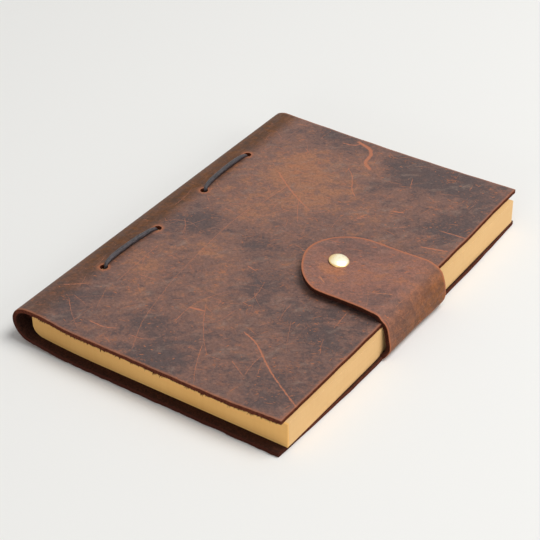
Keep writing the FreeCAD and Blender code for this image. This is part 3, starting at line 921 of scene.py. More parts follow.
def random_strokes(count: int, low: Place, high: Place, seed: int) -> list[Stroke]:
    """Fine handling scratches, scattered over a rectangle of leather.

    Args:
        count: How many are drawn.
        low: The rectangle's low corner.
        high: Its high corner.
        seed: Fixes the result.

    Returns:
        The scratches.
    """
    rng = random.Random(seed)
    strokes = []
    for _ in range(count):
        x, y = rng.uniform(low[0], high[0]), rng.uniform(low[1], high[1])
        turn = math.radians(rng.choice((-62.0, 35.0, 80.0)) + rng.gauss(0.0, 22.0))
        length = rng.uniform(4.0, 12.0) + 30.0 * rng.random() ** 5
        bend = rng.gauss(0.0, 0.18)
        points = []
        for k in range(4):
            points.append((x, y))
            x += math.cos(turn) * length / 3
            y += math.sin(turn) * length / 3
            turn += bend
        strokes.append(Stroke(tuple(points), rng.uniform(0.25, 0.5), rng.uniform(0.25, 0.65),
                              rng.uniform(0.1, 0.5)))
    return strokes


class LaidMarks:
    """Scratches kept on a mesh's vertices in layers, so that its material can draw them finely.

    A vertex near a scratch keeps how far off its line it is, signed by side and counted in half
    widths, the scratch's strength and how fine it is. The scratches of one layer lie clear of each
    other.
    """

    # How far off its line, and past its ends, a scratch is whole and is kept, in millimetres.
    FULL = 2.3
    REACH = 4.0
    FADE = 2.0
    # The width up to which a scratch wobbles in full, in millimetres; a wider one wobbles less.
    FINE = 0.45

    def __init__(self, strokes: Iterable[Stroke]) -> None:
        """Share the scratches out between the layers, and leave out any that finds no room."""
        self.layers: list[list[list[Vector]]] = [[] for _ in range(MARK_LAYERS)]
        self.strokes: list[list[Stroke]] = [[] for _ in range(MARK_LAYERS)]
        for stroke in strokes:
            line = stroke.line()
            for lines, members in zip(self.layers, self.strokes):
                if all(self.clear(line, other) for other in lines):
                    lines.append(line)
                    members.append(stroke)
                    break

    def clear(self, line: list[Vector], other: list[Vector]) -> bool:
        """Whether two scratches lie far enough apart for one layer."""
        least = self.REACH + self.FULL
        for (start, end), (first, last) in product(zip(line, line[1:]), zip(other, other[1:])):
            span, reach = (end - start).length / 2, (last - first).length / 2
            if ((start + end) / 2 - (first + last) / 2).length >= least + span + reach:
                continue
            steps = max(1, math.ceil(max(span, reach)))
            if any((start.lerp(end, a / steps) - first.lerp(last, b / steps)).length < least
                   for a, b in product(range(steps + 1), repeat=2)):
                return False
        return True

    def write(self, piece: Piece, lay: Sequence[Point]) -> None:
        """Store the layers on a piece.

        Args:
            piece: The leather piece.
            lay: Each vertex's place on the unrolled leather.
        """
        tree = kdtree.KDTree(len(lay))
        for index, spot in enumerate(lay):
            tree.insert(spot, index)
        tree.balance()
        for number, (lines, members) in enumerate(zip(self.layers, self.strokes)):
            values = [(0.0, 0.0, 0.0)] * len(lay)
            nearest = [self.REACH] * len(lay)
            for line, stroke in zip(lines, members):
                for i, (start, end) in enumerate(zip(line, line[1:])):
                    run = end - start
                    for spot, index, _ in tree.find_range((start + end) / 2,
                                                          run.length / 2 + self.REACH):
                        reach = spot - start
                        along = reach.dot(run) / run.length_squared
                        share = min(max(along, 0.0), 1.0)
                        away = (reach - run * share).length
                        if away >= nearest[index]:
                            continue
                        nearest[index] = away
                        done = (i + share) / (len(line) - 1)
                        strength = stroke.start + (stroke.end - stroke.start) * done
                        strength *= 1.0 - smooth(abs(along - share) * run.length, 0.0, self.FADE)
                        strength *= 1.0 - smooth(away, self.FULL, self.REACH)
                        side = (run.x * reach.y - run.y * reach.x) / run.length
                        values[index] = (side * 2 / stroke.width, strength,
                                         min(1.0, self.FINE / stroke.width))
            write_vector(piece, f"marks_{number}", values)


def store_looks(piece: Piece, edge_points: Sequence[Vector], lay: Sequence[Point],
                tones: Sequence[Point], strokes: Iterable[Stroke]) -> None:
    """Store on a leather piece all that its material reads, and shade it.

    Args:
        piece: The leather piece.
        edge_points: Points along its cut edges.
        lay: Each vertex's place on the unrolled leather.
        tones: How dark, how warm and how pulled the leather is at each vertex.
        strokes: The scratches on it.
    """
    write_distance(piece, edge_points)
    write_vector(piece, "lay", lay)
    write_vector(piece, "tones", tones)
    LaidMarks(strokes).write(piece, lay)
    smooth_by_angle(piece)


# ---- the hide ------------------------------------------------------------------------------------
@dataclass(frozen=True)
class Zone:
    """A soft patch where the leather is darker or more rubbed."""

    x: float
    y: float
    radius: float
    strength: float

    def at(self, x: float, y: float) -> float:
        """The patch's strength at a place."""
        away = ((x - self.x) ** 2 + (y - self.y) ** 2) / self.radius ** 2
        return self.strength * math.exp(-away)


def tail_belly(x: float) -> float:
    """How far the front cover's tail edge hangs out at its middle, along the edge."""
    return 1.7 * smooth(x, -66.0, -44.0) * (1 - smooth(x, 40.0, 68.0))


@dataclass
class Hide:
    """Front cover, hollow spine and back cover as one sheet of leather."""

    turn: float = -0.42
    back_edge: float = 73.9
    front_edge: float = 70.1
    back_bow: float = 2.5
    back_tail: float = 5.8
    back_head: float = 2.0
    front_tail: float = 1.9
    front_head: float = 7.6
    head_bow: float = 1.5
    slow_wave: float = 0.25
    quick_wave: float = 0.15
    back_roughness: float = 0.2
    cockle: float = 0.28
    # The sheet's bends: radius of the grain side, heading at the end and length of a cell.
    bends: tuple[Point, ...] = (
        (RISE_RADIUS, 6.2, 2.2), (16.0054, 46.0, 1.0), (6.1385, 157.0, 0.8), (13.0002, 180.0, 1.0))
    cells: Place = (2.2, 1.75)
    front_cell: float = 1.6
    edge_round: float = 0.3
    rim_spacing: float = 0.6
    hole_radius: float = 2.05
    stud_hole: float = 1.45
    root: tuple[Point, Point] = ((64.0, -28.6, -1.0), (80.0, 23.4, 6.0))
    fold: Point = (-70.4, 9.0, 8.8)
    dusk: tuple[Zone, ...] = (
        Zone(40.0, 101.0, 17.0, 1.2), Zone(11.0, 99.0, 12.0, 1.1), Zone(-36.0, 108.0, 11.0, 0.8),
        Zone(62.0, 62.0, 15.0, 0.9), Zone(64.0, 86.0, 12.0, 0.5), Zone(-62.0, -92.0, 17.0, 0.8),
        Zone(-2.0, -101.0, 15.0, 0.9), Zone(-53.0, -4.0, 13.0, 0.7), Zone(52.0, -42.0, 20.0, 0.7),
        Zone(56.0, -88.0, 18.0, 0.6), Zone(-13.0, -4.0, 10.0, 0.6), Zone(8.0, -32.0, 14.0, 0.4),
        Zone(-22.0, -84.0, 13.0, 0.4), Zone(-45.0, 82.0, 11.0, 0.4), Zone(10.0, 72.0, 10.0, 0.4))
    glow: tuple[Zone, ...] = (
        Zone(-27.0, 62.0, 24.0, 1.0), Zone(-38.0, 78.0, 14.0, 0.6), Zone(-12.0, 44.0, 13.0, 0.7),
        Zone(-34.0, 22.0, 12.0, 0.8), Zone(-31.0, -17.0, 13.0, 0.5), Zone(-48.0, -46.0, 9.0, 0.7),
        Zone(-6.0, -62.0, 13.0, 0.3), Zone(-14.0, -30.0, 12.0, 0.5), Zone(20.0, 45.0, 9.0, 0.5),
        Zone(-72.0, 30.0, 12.0, 0.4), Zone(-40.0, -60.0, 9.0, 0.4), Zone(2.0, 88.0, 12.0, 0.4),
        Zone(-55.0, 60.0, 14.0, 0.4), Zone(50.0, 78.0, 12.0, 0.4))
    strokes: tuple[Stroke, ...] = ()
    materials: dict[Face, Material] = field(default_factory=dict)

    def shape(self, point: Vector) -> Vector:
        """Trim, bow, lay and turn one point of the plain sheet, as the hand-cut hide lies."""
        x, y, z = point
        rise = min(max(z / COVER_TOP, 0.0), 1.0)
        on_front = smooth(z, 9.0, 15.0)
        tail = -HALF_BLOCK - self.back_tail + (self.back_tail - self.front_tail) * rise
        head = HALF_BLOCK + self.back_head + (self.front_head - self.back_head) * rise
        rough = self.back_roughness * (1 - on_front)
        tail -= (self.slow_wave + rough) * wander(x / 9.0, z / 9.0, 3.0)
        tail -= (self.quick_wave + rough) * wander(x / 3.4, z / 6.0, 5.0)
        head += self.slow_wave * wander(x / 12.0, z / 9.0, 7.0)
        head -= self.head_bow * on_front * (1 - (x / 75.0) ** 2)
        tail -= on_front * (tail_belly(x) + 0.3)
        share = (y + HALF_BLOCK) / (2 * HALF_BLOCK)
        y = tail + (head - tail) * share
        if on_front > 0.5:
            edge = self.quick_wave * wander(y / 11.0, 1.0, 9.0) + 0.12 * wander(y / 3.0, 4.0, 9.0)
            edge += 1.15 - 1.1 * smooth(y, -40.0, 60.0) - 0.9 * smooth(y, 60.0, 95.0)
            x += edge * smooth(x, 30.0, self.front_edge)
            z += self.cockle * max(0.0, wander(x / 34.0, y / 34.0, 11.0)) * smooth(x, -60.0, -40.0)
        elif z < 1.0 and x > 0:
            edge = self.back_roughness * wander(y / 10.0, 2.0, 13.0)
            edge -= self.back_bow * (y / HALF_BLOCK) ** 2
            edge += 1.1 - 0.9 * smooth(y, -60.0, 20.0) + 0.4 * smooth(y, 35.0, 65.0)
            x += edge * smooth(x, 45.0, self.back_edge)
        turn = math.radians(self.turn)
        return Vector((x * math.cos(turn) - y * math.sin(turn),
                       x * math.sin(turn) + y * math.cos(turn), z))

    def unroll(self, point: Vector) -> Point:
        """A point's place on the flat leather: the front cover's X and Y, run on round the spine."""
        x, y, z = point
        fold_x, fold_z, radius = self.fold
        if x < fold_x:
            return (fold_x - radius * math.atan2(fold_x - x, z - fold_z), y, 0.0)
        return (x, y, 0.0) if z > fold_z else (2 * fold_x - x - math.pi * radius, y, 0.0)

    def build(self) -> Piece:
        """Grow, trim, thicken and punch the hide.

        Returns:
            The finished piece, riding on the journal.
        """
        strip = LeatherStrip("hide", RISE_START, self.back_edge, -HALF_BLOCK, HALF_BLOCK, *self.cells)
        for radius, heading, cell in self.bends:
            strip.bend(radius, heading, cell)
        strip.run(self.front_edge - strip.x, self.front_cell)
        piece = strip.finish()
        reshape(piece, self.shape)
        edge_points = boundary_points(piece, self.rim_spacing)
        thicken(piece, self.materials, self.edge_round)
        above = COVER_TOP + 2.0
        cutters = [Drill(x, y, self.hole_radius, -2.0, above).build() for x, y in HOLES]
        cutters.append(Drill(*STUD_CENTRE, self.stud_hole, 12.0, above).build())
        cutters.append(add_block(*self.root))
        cut_away(piece, cutters)
        store_looks(piece, edge_points, *self.tones(piece), self.strokes)
        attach(piece, Body.JOURNAL.value)
        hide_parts("leather_cover")
        return piece

    def tones(self, piece: Piece) -> tuple[list[Point], list[Point]]:
        """Each vertex's unrolled place, and how bruised, rubbed and pulled the cover is there."""
        lay, tones = [], []
        for vertex in piece.data.vertices:
            point = vertex.co / MM
            spot = self.unroll(point)
            upper = smooth(point.z, 6.0, 14.0)
            lay.append(spot)
            along = 0.55 + 0.45 * smooth(point.y, -95.0, -40.0)
            tones.append((upper * min(1.3, sum(zone.at(*spot[:2]) for zone in self.dusk)),
                          upper * min(1.3, sum(zone.at(*spot[:2]) for zone in self.glow)),
                          along * smooth(-point.x, 60.0, 70.0) * smooth(point.z, 1.0, 12.0)))
        return lay, tones


# ---- the strap -----------------------------------------------------------------------------------
@dataclass
class ClosingStrap:
    """The strap from the back cover's edge, up the fore edge and over the front cover."""

    near_y: float = -24.6
    far_y: float = 25.8
    root_x: float = 64.02
    root_near: float = -28.58
    root_far: float = 22.6
    lower_centre: Place = (71.4, 5.5)
    upper_centre: Place = (65.4, 10.98)
    lower_radius: float = 5.5
    upper_radius: float = 11.5
    seam_z: float = 8.3
    tip_x: float = 12.8
    tip_lift: float = 1.1
    # How far the flap's end slides in X and Y for each millimetre that it lifts.
    tip_slide: Place = (0.78, -1.15)
    near_taper: float = 0.8
    foot_out: float = 0.8
    top_out: float = 0.7
    shoulder_in: float = 1.6
    shoulder_drop: float = 0.6
    cells: Place = (1.2, 1.26)
    edge_round: float = 0.25
    rim_spacing: float = 0.4
    rim_clear: float = 0.3
    stud_hole: float = 1.65
    near_line: tuple[Place, ...] = (
        (65.4, -24.7), (58.6, -24.5), (51.8, -24.4), (45.0, -24.4), (38.6, -24.5), (33.2, -23.9),
        (28.4, -21.6), (24.0, -18.2), (20.2, -14.2), (17.2, -9.7), (14.9, -5.0), (13.4, -0.9),
        (12.8, 2.6))
    far_line: tuple[Place, ...] = (
        (65.4, 25.8), (58.6, 25.6), (51.8, 25.4), (45.0, 25.4), (38.8, 25.4), (33.2, 25.1),
        (28.2, 23.8), (23.9, 21.6), (20.0, 18.8), (16.9, 15.4), (14.6, 11.6), (13.2, 7.8),
        (12.8, 4.8))
    dusk: tuple[Zone, ...] = (
        Zone(38.0, 20.0, 11.0, 0.6), Zone(24.0, 12.0, 9.0, 0.4), Zone(62.0, -12.0, 9.0, 0.5))
    wall_dusk: Zone = Zone(84.0, -14.0, 8.0, 0.8)
    glow: tuple[Zone, ...] = (
        Zone(48.0, 0.0, 13.0, 0.5), Zone(36.0, -5.5, 3.2, 2.4), Zone(31.5, -7.0, 2.8, 2.0),
        Zone(27.0, -6.5, 2.6, 1.8))
    strokes: tuple[Stroke, ...] = ()
    materials: dict[Face, Material] = field(default_factory=dict)

    def build(self) -> list[Piece]:
        """Make the strap's two lengths, which meet in its upright wall.

        Returns:
            The lower and the upper length.
        """
        lower = self.build_lower()
        upper = self.build_upper()
        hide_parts("closure_strap")
        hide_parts("closure_flap")
        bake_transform(lower)
        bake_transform(upper)
        return [lower, upper]

    def unroll(self, point: Vector) -> Point:
        """A point's place on the flat leather: the flap's own X and Y, run on down the wall."""
        x, y, z = point
        centre_x, centre_z = self.upper_centre
        if z > centre_z:
            bend = self.upper_radius * math.atan2(max(x - centre_x, 0.0), z - centre_z)
            return (min(x, centre_x) + bend, y, 0.0)
        return (centre_x + self.upper_radius * math.pi / 2 + centre_z - z, y, 0.0)

    def tones(self, piece: Piece) -> tuple[list[Point], list[Point]]:
        """Each vertex's unrolled place, and how dark, warm and pulled the strap is there."""
        lay, tones = [], []
        for vertex in piece.data.vertices:
            x, y, z = vertex.co / MM
            spot = self.unroll(Vector((x, y, z)))
            bend = smooth(spot[0], 63.0, 82.0)
            stretch = 0.5 + 0.5 * smooth(y, -20.0, 22.0)
            low = 0.9 + 0.4 * smooth(12.0 - z, 0.0, 8.0)
            lay.append(spot)
            tones.append((sum(zone.at(x, y) for zone in self.dusk) + self.wall_dusk.at(*spot[:2]),
                          sum(zone.at(x, y) for zone in self.glow),
                          min(1.0, 1.15 * bend * stretch * low)))
        return lay, tones

    def side_y(self, z: float, flat: bool) -> tuple[float, float]:
        """The strap's near and far edges at a height above the table."""
        flare = 1.0 if flat else 1.0 - smooth(z, 0.6, 6.4)
        taper = 1.0 if flat else 1.0 - smooth(z, 0.5, 7.0)
        near = self.near_y - self.near_taper * (1 - smooth(z, 6.0, 20.0))
        return (near + (self.root_near - near) * flare,
                self.far_y + (self.root_far - self.far_y) * taper)

    def lean(self, point: Vector) -> Vector:
        """Twist the wall as stiff leather does: foot out on the far side, shoulder in on the near."""
        x, y, z = point
        near, far = 1 - smooth(y, -25.0, 8.0), smooth(y, -5.0, 25.0)
        below_top = 1 - smooth(z, 20.2, 22.4)
        out = self.foot_out * far * smooth(x, 70.0, 75.0) * (1 - smooth(z, 4.0, 14.0))
        out += self.top_out * far * smooth(z, 15.0, 19.0) * below_top
        out -= self.shoulder_in * near * smooth(z, 3.0, 14.0) * below_top
        drop = self.shoulder_drop * near * smooth(x, 58.0, 68.0) * smooth(z, 17.0, 20.0)
        return Vector((x + out, y, z - drop))

    def grow_to_seam(self, name: str) -> LeatherStrip:
        """Start a strip at the root and grow it to the seam in the wall."""
        strip = LeatherStrip(name, self.root_x, self.lower_centre[0], self.near_y, self.far_y,
                             *self.cells, side=-1)
        return strip.bend(self.lower_radius, 90.0, cell=0.6).run(self.seam_z - self.lower_centre[1])

    def build_lower(self) -> Piece:
        """Grow the root and the bend at the table, up to the seam in the wall."""
        piece = self.grow_to_seam("strap_lower").finish()

        def widen(point: Vector) -> Vector:
            """Flare one row towards the root."""
            near, far = self.side_y(point.z, point.x < self.lower_centre[0])
            share = (point.y - self.near_y) / (self.far_y - self.near_y)
            return self.lean(Vector((point.x, near + (far - near) * share, point.z)))

        reshape(piece, widen)
        return self.complete(piece, [])

    def build_upper(self) -> Piece:
        """Grow the wall above the seam, the bend over the front cover and the flap."""
        strip = self.grow_to_seam("strap_upper")
        seam_z = strip.z
        strip.run(self.upper_centre[1] - seam_z).bend(self.upper_radius, 180.0, cell=0.9)
        strip.run(self.upper_centre[0] - self.tip_x)
        piece = strip.finish()
        delete_faces(piece, lambda centre: centre.z < seam_z - MERGE_DISTANCE)
        top = self.upper_centre[1] + self.upper_radius

        def trim(point: Vector) -> Vector:
            """Lay one point of a plain row on the flap's outline, with the flap's easy lie."""
            across = (point.y - self.near_y) / (self.far_y - self.near_y)
            if point.x < self.upper_centre[0] and point.z > top - 1.0:
                along = (self.upper_centre[0] - point.x) / (self.upper_centre[0] - self.tip_x)
                near = along_path(self.near_line, along)
                far = along_path(self.far_line, along)
                spot = near.lerp(far, across)
                lift = self.tip_lift * (0.48 - smooth(spot.x, 14.0, 50.0))
                lift *= 1 - smooth(spot.x, 48.0, self.upper_centre[0])
                return self.lean(Vector((spot.x + self.tip_slide[0] * lift,
                                         spot.y + self.tip_slide[1] * lift, point.z + lift)))
            near, far = self.side_y(point.z, False)
            return self.lean(Vector((point.x, near + (far - near) * across, point.z)))

        reshape(piece, trim)
        return self.complete(piece, [Drill(*STUD_CENTRE, self.stud_hole, top - 6.0, top + 3.0)])

    def complete(self, piece: Piece, holes: Sequence[Drill]) -> Piece:
        """Thicken, punch and dress one length of the strap."""
        edge_points = [point for point in boundary_points(piece, self.rim_spacing)
                       if abs(point.z - self.seam_z) > self.rim_clear
                       and not (point.z < self.rim_clear and point.x < self.root_x + 0.5)]
        thicken(piece, self.materials, self.edge_round)
        cut_away(piece, [hole.build() for hole in holes])
        store_looks(piece, edge_points, *self.tones(piece), self.strokes)
        return piece


# ---- pages ---------------------------------------------------------------------------------------
@dataclass(frozen=True)
class PageBlock:
    """All the pages as one block, which swells a little along the fore edge."""

    low: Point = (-71.6, -105.2, 2.27)
    high: Point = (72.5, 104.9, 15.35)
    corner: float = 5.5
    swell: float = 0.6
    skew: float = 0.6
    rows: tuple[int, int] = (12, 14)
    pressed: float = 1.65
    pressed_rows: tuple[float, ...] = (-35.0, -32.5, -28.0, -25.5, -20.0, -12.0, -5.0, 4.0, 10.0)

    def build(self, material: Material) -> Piece:
        """Cut the block, round its lower spine corner and press it into its shape.

        Args:
            material: The paper's finish.

        Returns:
            The finished block, riding on the journal.
        """
        piece = add_block(self.low, self.high)
        piece.name = "pages"
        self.select_corner(piece)
        with editing(piece):
            bpy.ops.mesh.select_mode(type="EDGE")
            bpy.ops.mesh.bevel(offset=self.corner * MM, segments=8)
            for axis, (count, more) in enumerate(((self.rows[0], ()),
                                                  (self.rows[1], self.pressed_rows))):
                normal = tuple(1.0 if axis == way else 0.0 for way in range(3))
                span = self.high[axis] - self.low[axis]
                rows = (self.low[axis] + span * step / count for step in range(1, count))
                for at in (*rows, *more):
                    bpy.ops.mesh.select_all(action="SELECT")
                    bpy.ops.mesh.bisect(plane_co=tuple(at * MM * way for way in normal),
                                        plane_no=normal)
        reshape(piece, self.press)
        piece.data.materials.append(material)
        smooth_by_angle(piece)
        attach(piece, Body.JOURNAL.value)
        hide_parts("page_block")
        return piece

    def select_corner(self, piece: Piece) -> None:
        """Select only the long edge at the foot of the spine side."""
        for kind in (piece.data.polygons, piece.data.vertices):
            kind.foreach_set("select", [False] * len(kind))
        for edge in piece.data.edges:
            first, last = (piece.data.vertices[index].co / MM for index in edge.vertices)
            middle = (first + last) / 2
            edge.select = middle.x < self.low[0] + 1.0 and middle.z < self.low[2] + 1.0

    def press(self, point: Vector) -> Vector:
        """Swell the fore edge but for where the strap's near side presses it in, skew the tail and
        lift the underside over the back cover's rise."""
        x, y, z = point
        along = (x - self.low[0]) / (self.high[0] - self.low[0])
        up = (self.high[2] - z) / (self.high[2] - self.low[2])
        behind = min(0.0, x - RISE_START)
        rise = RISE_RADIUS - math.sqrt(RISE_RADIUS ** 2 - behind ** 2)
        swell = self.swell * (1 - (y / HALF_BLOCK) ** 2) * smooth(x, 40.0, 72.0)
        swell -= (self.pressed * (1 - 0.8 * up) * smooth(x, 66.0, 71.0)
                  * smooth(y, -34.0, -25.0) * (1 - smooth(y, -20.0, 10.0)))
        tail = self.skew * along * smooth(-y, 90.0, HALF_BLOCK)
        return Vector((x + swell, y - tail, z + rise * up))


# ---- stitches ------------------------------------------------------------------------------------
@dataclass(frozen=True)
class Stitch:
    """One stitch of the binding: a closed loop of cord through two holes."""

    name: str
    node: str
    first: Place
    last: Place
    radius: float = 1.27
    leg_shift: float = 1.3
    low_z: float = 1.27
    high_z: float = 18.4
    bow: float = 1.2
    lift: float = 0.75
    uneven: Place = (0.94, 1.06)
    # The runs through the holes: height and share of the cord's thickness.
    legs: tuple[Place, ...] = ((9.0, 0.8), (15.6, 0.72), (17.7, 0.74))
    foot: Place = (3.4, 0.9)
    # The run under the cover: thickness, and how far it starts inside the legs.
    under_size: float = 0.93
    inset: float = 1.2
    # The run over the cover: share of the way, bow to the side, lift and thickness.
    crest: tuple[tuple[float, ...], ...] = (
        (0.04, 0.3, 0.2, 0.8), (0.13, 0.75, 0.75, 0.96), (0.3, 0.95, 1.0, 1.0),
        (0.5, 1.0, 1.0, 1.0), (0.7, 0.9, 0.85, 1.0), (0.87, 0.6, 0.45, 0.96),
        (0.96, 0.3, 0.0, 0.8))

    def route(self) -> list[tuple[Vector, float]]:
        """The loop's points in millimetres, each with its share of the cord's thickness."""
        start, end = Vector((*self.first, 0.0)), Vector((*self.last, 0.0))
        along = (end - start).normalized()
        aside = Vector((-along.y, along.x, 0.0))
        up = Vector((0.0, 0.0, 1.0))
        start += along * self.leg_shift
        end -= along * self.leg_shift
        over = [(start.lerp(end, share) + aside * side * self.bow
                 + up * (self.high_z + rise * self.lift), size)
                for share, side, rise, size in self.crest]
        under = [(place + up * self.low_z, self.under_size)
                 for place in (end - along * self.inset, start.lerp(end, 0.7),
                               start.lerp(end, 0.3), start + along * self.inset)]
        return ([(start + up * z, size) for z, size in self.legs] + over
                + [(end + up * z, size) for z, size in (*reversed(self.legs), self.foot)] + under
                + [(start + up * self.foot[0], self.foot[1])])

    def build(self, material: Material) -> Piece:
        """Lay the cord and dress it.

        Args:
            material: The cord's finish.

        Returns:
            The finished piece, riding on the journal.
        """
        route = self.route()
        curve = bpy.data.curves.new(self.name, "CURVE")
        curve.dimensions = "3D"
        curve.bevel_depth = self.radius * MM
        curve.bevel_resolution = 5
        curve.resolution_u = 10
        spline = curve.splines.new("NURBS")
        spline.points.add(len(route) - 1)
        rng = random.Random(self.name)
        for spot, (place, share) in zip(spline.points, route):
            spot.co = (*(place * MM), 1.0)
            spot.radius = share * rng.uniform(*self.uneven)
        spline.order_u = 3
        spline.use_cyclic_u = True
        loose = bpy.data.objects.new(self.name, curve)
        bpy.context.scene.collection.objects.link(loose)
        activate(loose)
        bpy.ops.object.convert(target="MESH")
        piece = bpy.context.object
        piece.name = self.name
        piece.data.materials.clear()
        piece.data.materials.append(material)
        smooth_by_angle(piece, 60.0)
        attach(piece, Body.JOURNAL.value)
        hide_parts(self.node)
        return piece


# ---- press stud ----------------------------------------------------------------------------------
@dataclass(frozen=True)
class StudCap:
    """The press stud's domed cap, spun from its half section."""

    base_z: float = 22.48
    lean: float = -9.0
    steps: int = 64
    merge: float = 0.002
    section: tuple[Place, ...] = (
        (0.0, 1.84), (1.2, 1.80), (2.4, 1.66), (3.4, 1.42), (4.2, 1.10), (4.8, 0.76),
        (5.08, 0.50), (5.15, 0.30), (5.08, 0.05), (4.9, -0.1), (4.5, -0.14), (1.5, -0.14),
        (1.5, -2.5), (0.0, -2.5))

    def build(self, material: Material) -> Piece:
        """Spin the cap and dress it.

        Args:
            material: The cap's finish.

        Returns:
            The finished piece, riding on the flap.
        """
        deselect()
        x, y = STUD_CENTRE
        bpy.ops.mesh.primitive_plane_add(size=1.0, location=(0.0, 0.0, 0.0))
        piece = bpy.context.object
        piece.name = "stud_cap"
        corners = [Vector((x + r, y, self.base_z + h)) * MM for r, h in self.section]
        piece.data.clear_geometry()
        piece.data.from_pydata(corners, [(k, k + 1) for k in range(len(corners) - 1)], [])
        with editing(piece):
            bpy.ops.mesh.select_all(action="SELECT")
            bpy.ops.mesh.spin(steps=self.steps, angle=math.tau, center=(x * MM, y * MM, 0.0),
                              axis=(0.0, 0.0, 1.0))
            bpy.ops.mesh.select_all(action="SELECT")
            bpy.ops.mesh.remove_doubles(threshold=self.merge * MM)
            bpy.ops.mesh.normals_make_consistent(inside=False)
            bpy.ops.transform.rotate(value=math.radians(self.lean), orient_axis="Y",
                                     center_override=(x * MM, y * MM, self.base_z * MM))
        piece.data.materials.append(material)
        smooth_by_angle(piece)
        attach(piece, Body.FLAP.value)
        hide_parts("snap_cap")
        return piece


# ---- frayed fibres -------------------------------------------------------------------------------
@dataclass(frozen=True)
class Fray:
    """Loose fibres that hang from the flesh side of a cut edge, in tufts."""

    name: str
    root: Callable[[float], Vector]
    tufts: int
    seed: int
    longest: float = 1.5
    thickness: float = 0.16
    bunch: tuple[int, int] = (3, 7)
    bunch_width: float = 0.003

    def build(self, material: Material, body: Body) -> Piece:
        """Copy one small tapered fibre along the edge, bunched in tufts.

        Args:
            material: The fibres' finish.
            body: The body that they ride on.

        Returns:
            The joined fibres.
        """
        deselect()
        bpy.ops.mesh.primitive_cone_add(vertices=5, radius1=1.0, radius2=0.15, depth=1.0,
                                        location=(0.0, 0.0, 0.5), end_fill_type="NOTHING")
        model = bpy.context.object
        settle(model)
        apply_modifier(model, "SUBSURF", levels=1, render_levels=1)
        rng = random.Random(self.seed)
        fibres = []
        for _ in range(self.tufts):
            centre = rng.random()
            size = self.longest * (0.3 + 0.7 * rng.random() ** 5)
            for _ in range(rng.randint(*self.bunch)):
                where = self.root(min(max(centre + rng.gauss(0.0, self.bunch_width), 0.0), 1.0))
                length = size * rng.uniform(0.5, 1.0)
                width = self.thickness * rng.uniform(0.6, 1.3)
                lean = (Matrix.Rotation(math.pi + rng.gauss(0.0, 0.35), 4, "X")
                        @ Matrix.Rotation(rng.gauss(0.0, 0.45), 4, "Y"))
                fibre = bpy.data.objects.new(self.name, model.data.copy())
                fibre.data.transform(Matrix.Translation(where * MM) @ lean
                                     @ Matrix.Diagonal((width * MM, width * MM, length * MM, 1.0)))
                bpy.context.scene.collection.objects.link(fibre)
                fibres.append(fibre)
        bpy.data.objects.remove(model)
        deselect()
        for fibre in fibres:
            fibre.select_set(True)
        bpy.context.view_layer.objects.active = fibres[0]
        bpy.ops.object.join()
        piece = bpy.context.object
        piece.name = self.name
        piece.data.materials.append(material)
        write_number(piece, "rim", [FAR_FROM_RIM] * len(piece.data.vertices))
        bpy.ops.object.shade_smooth()
        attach(piece, body.value)
        return piece


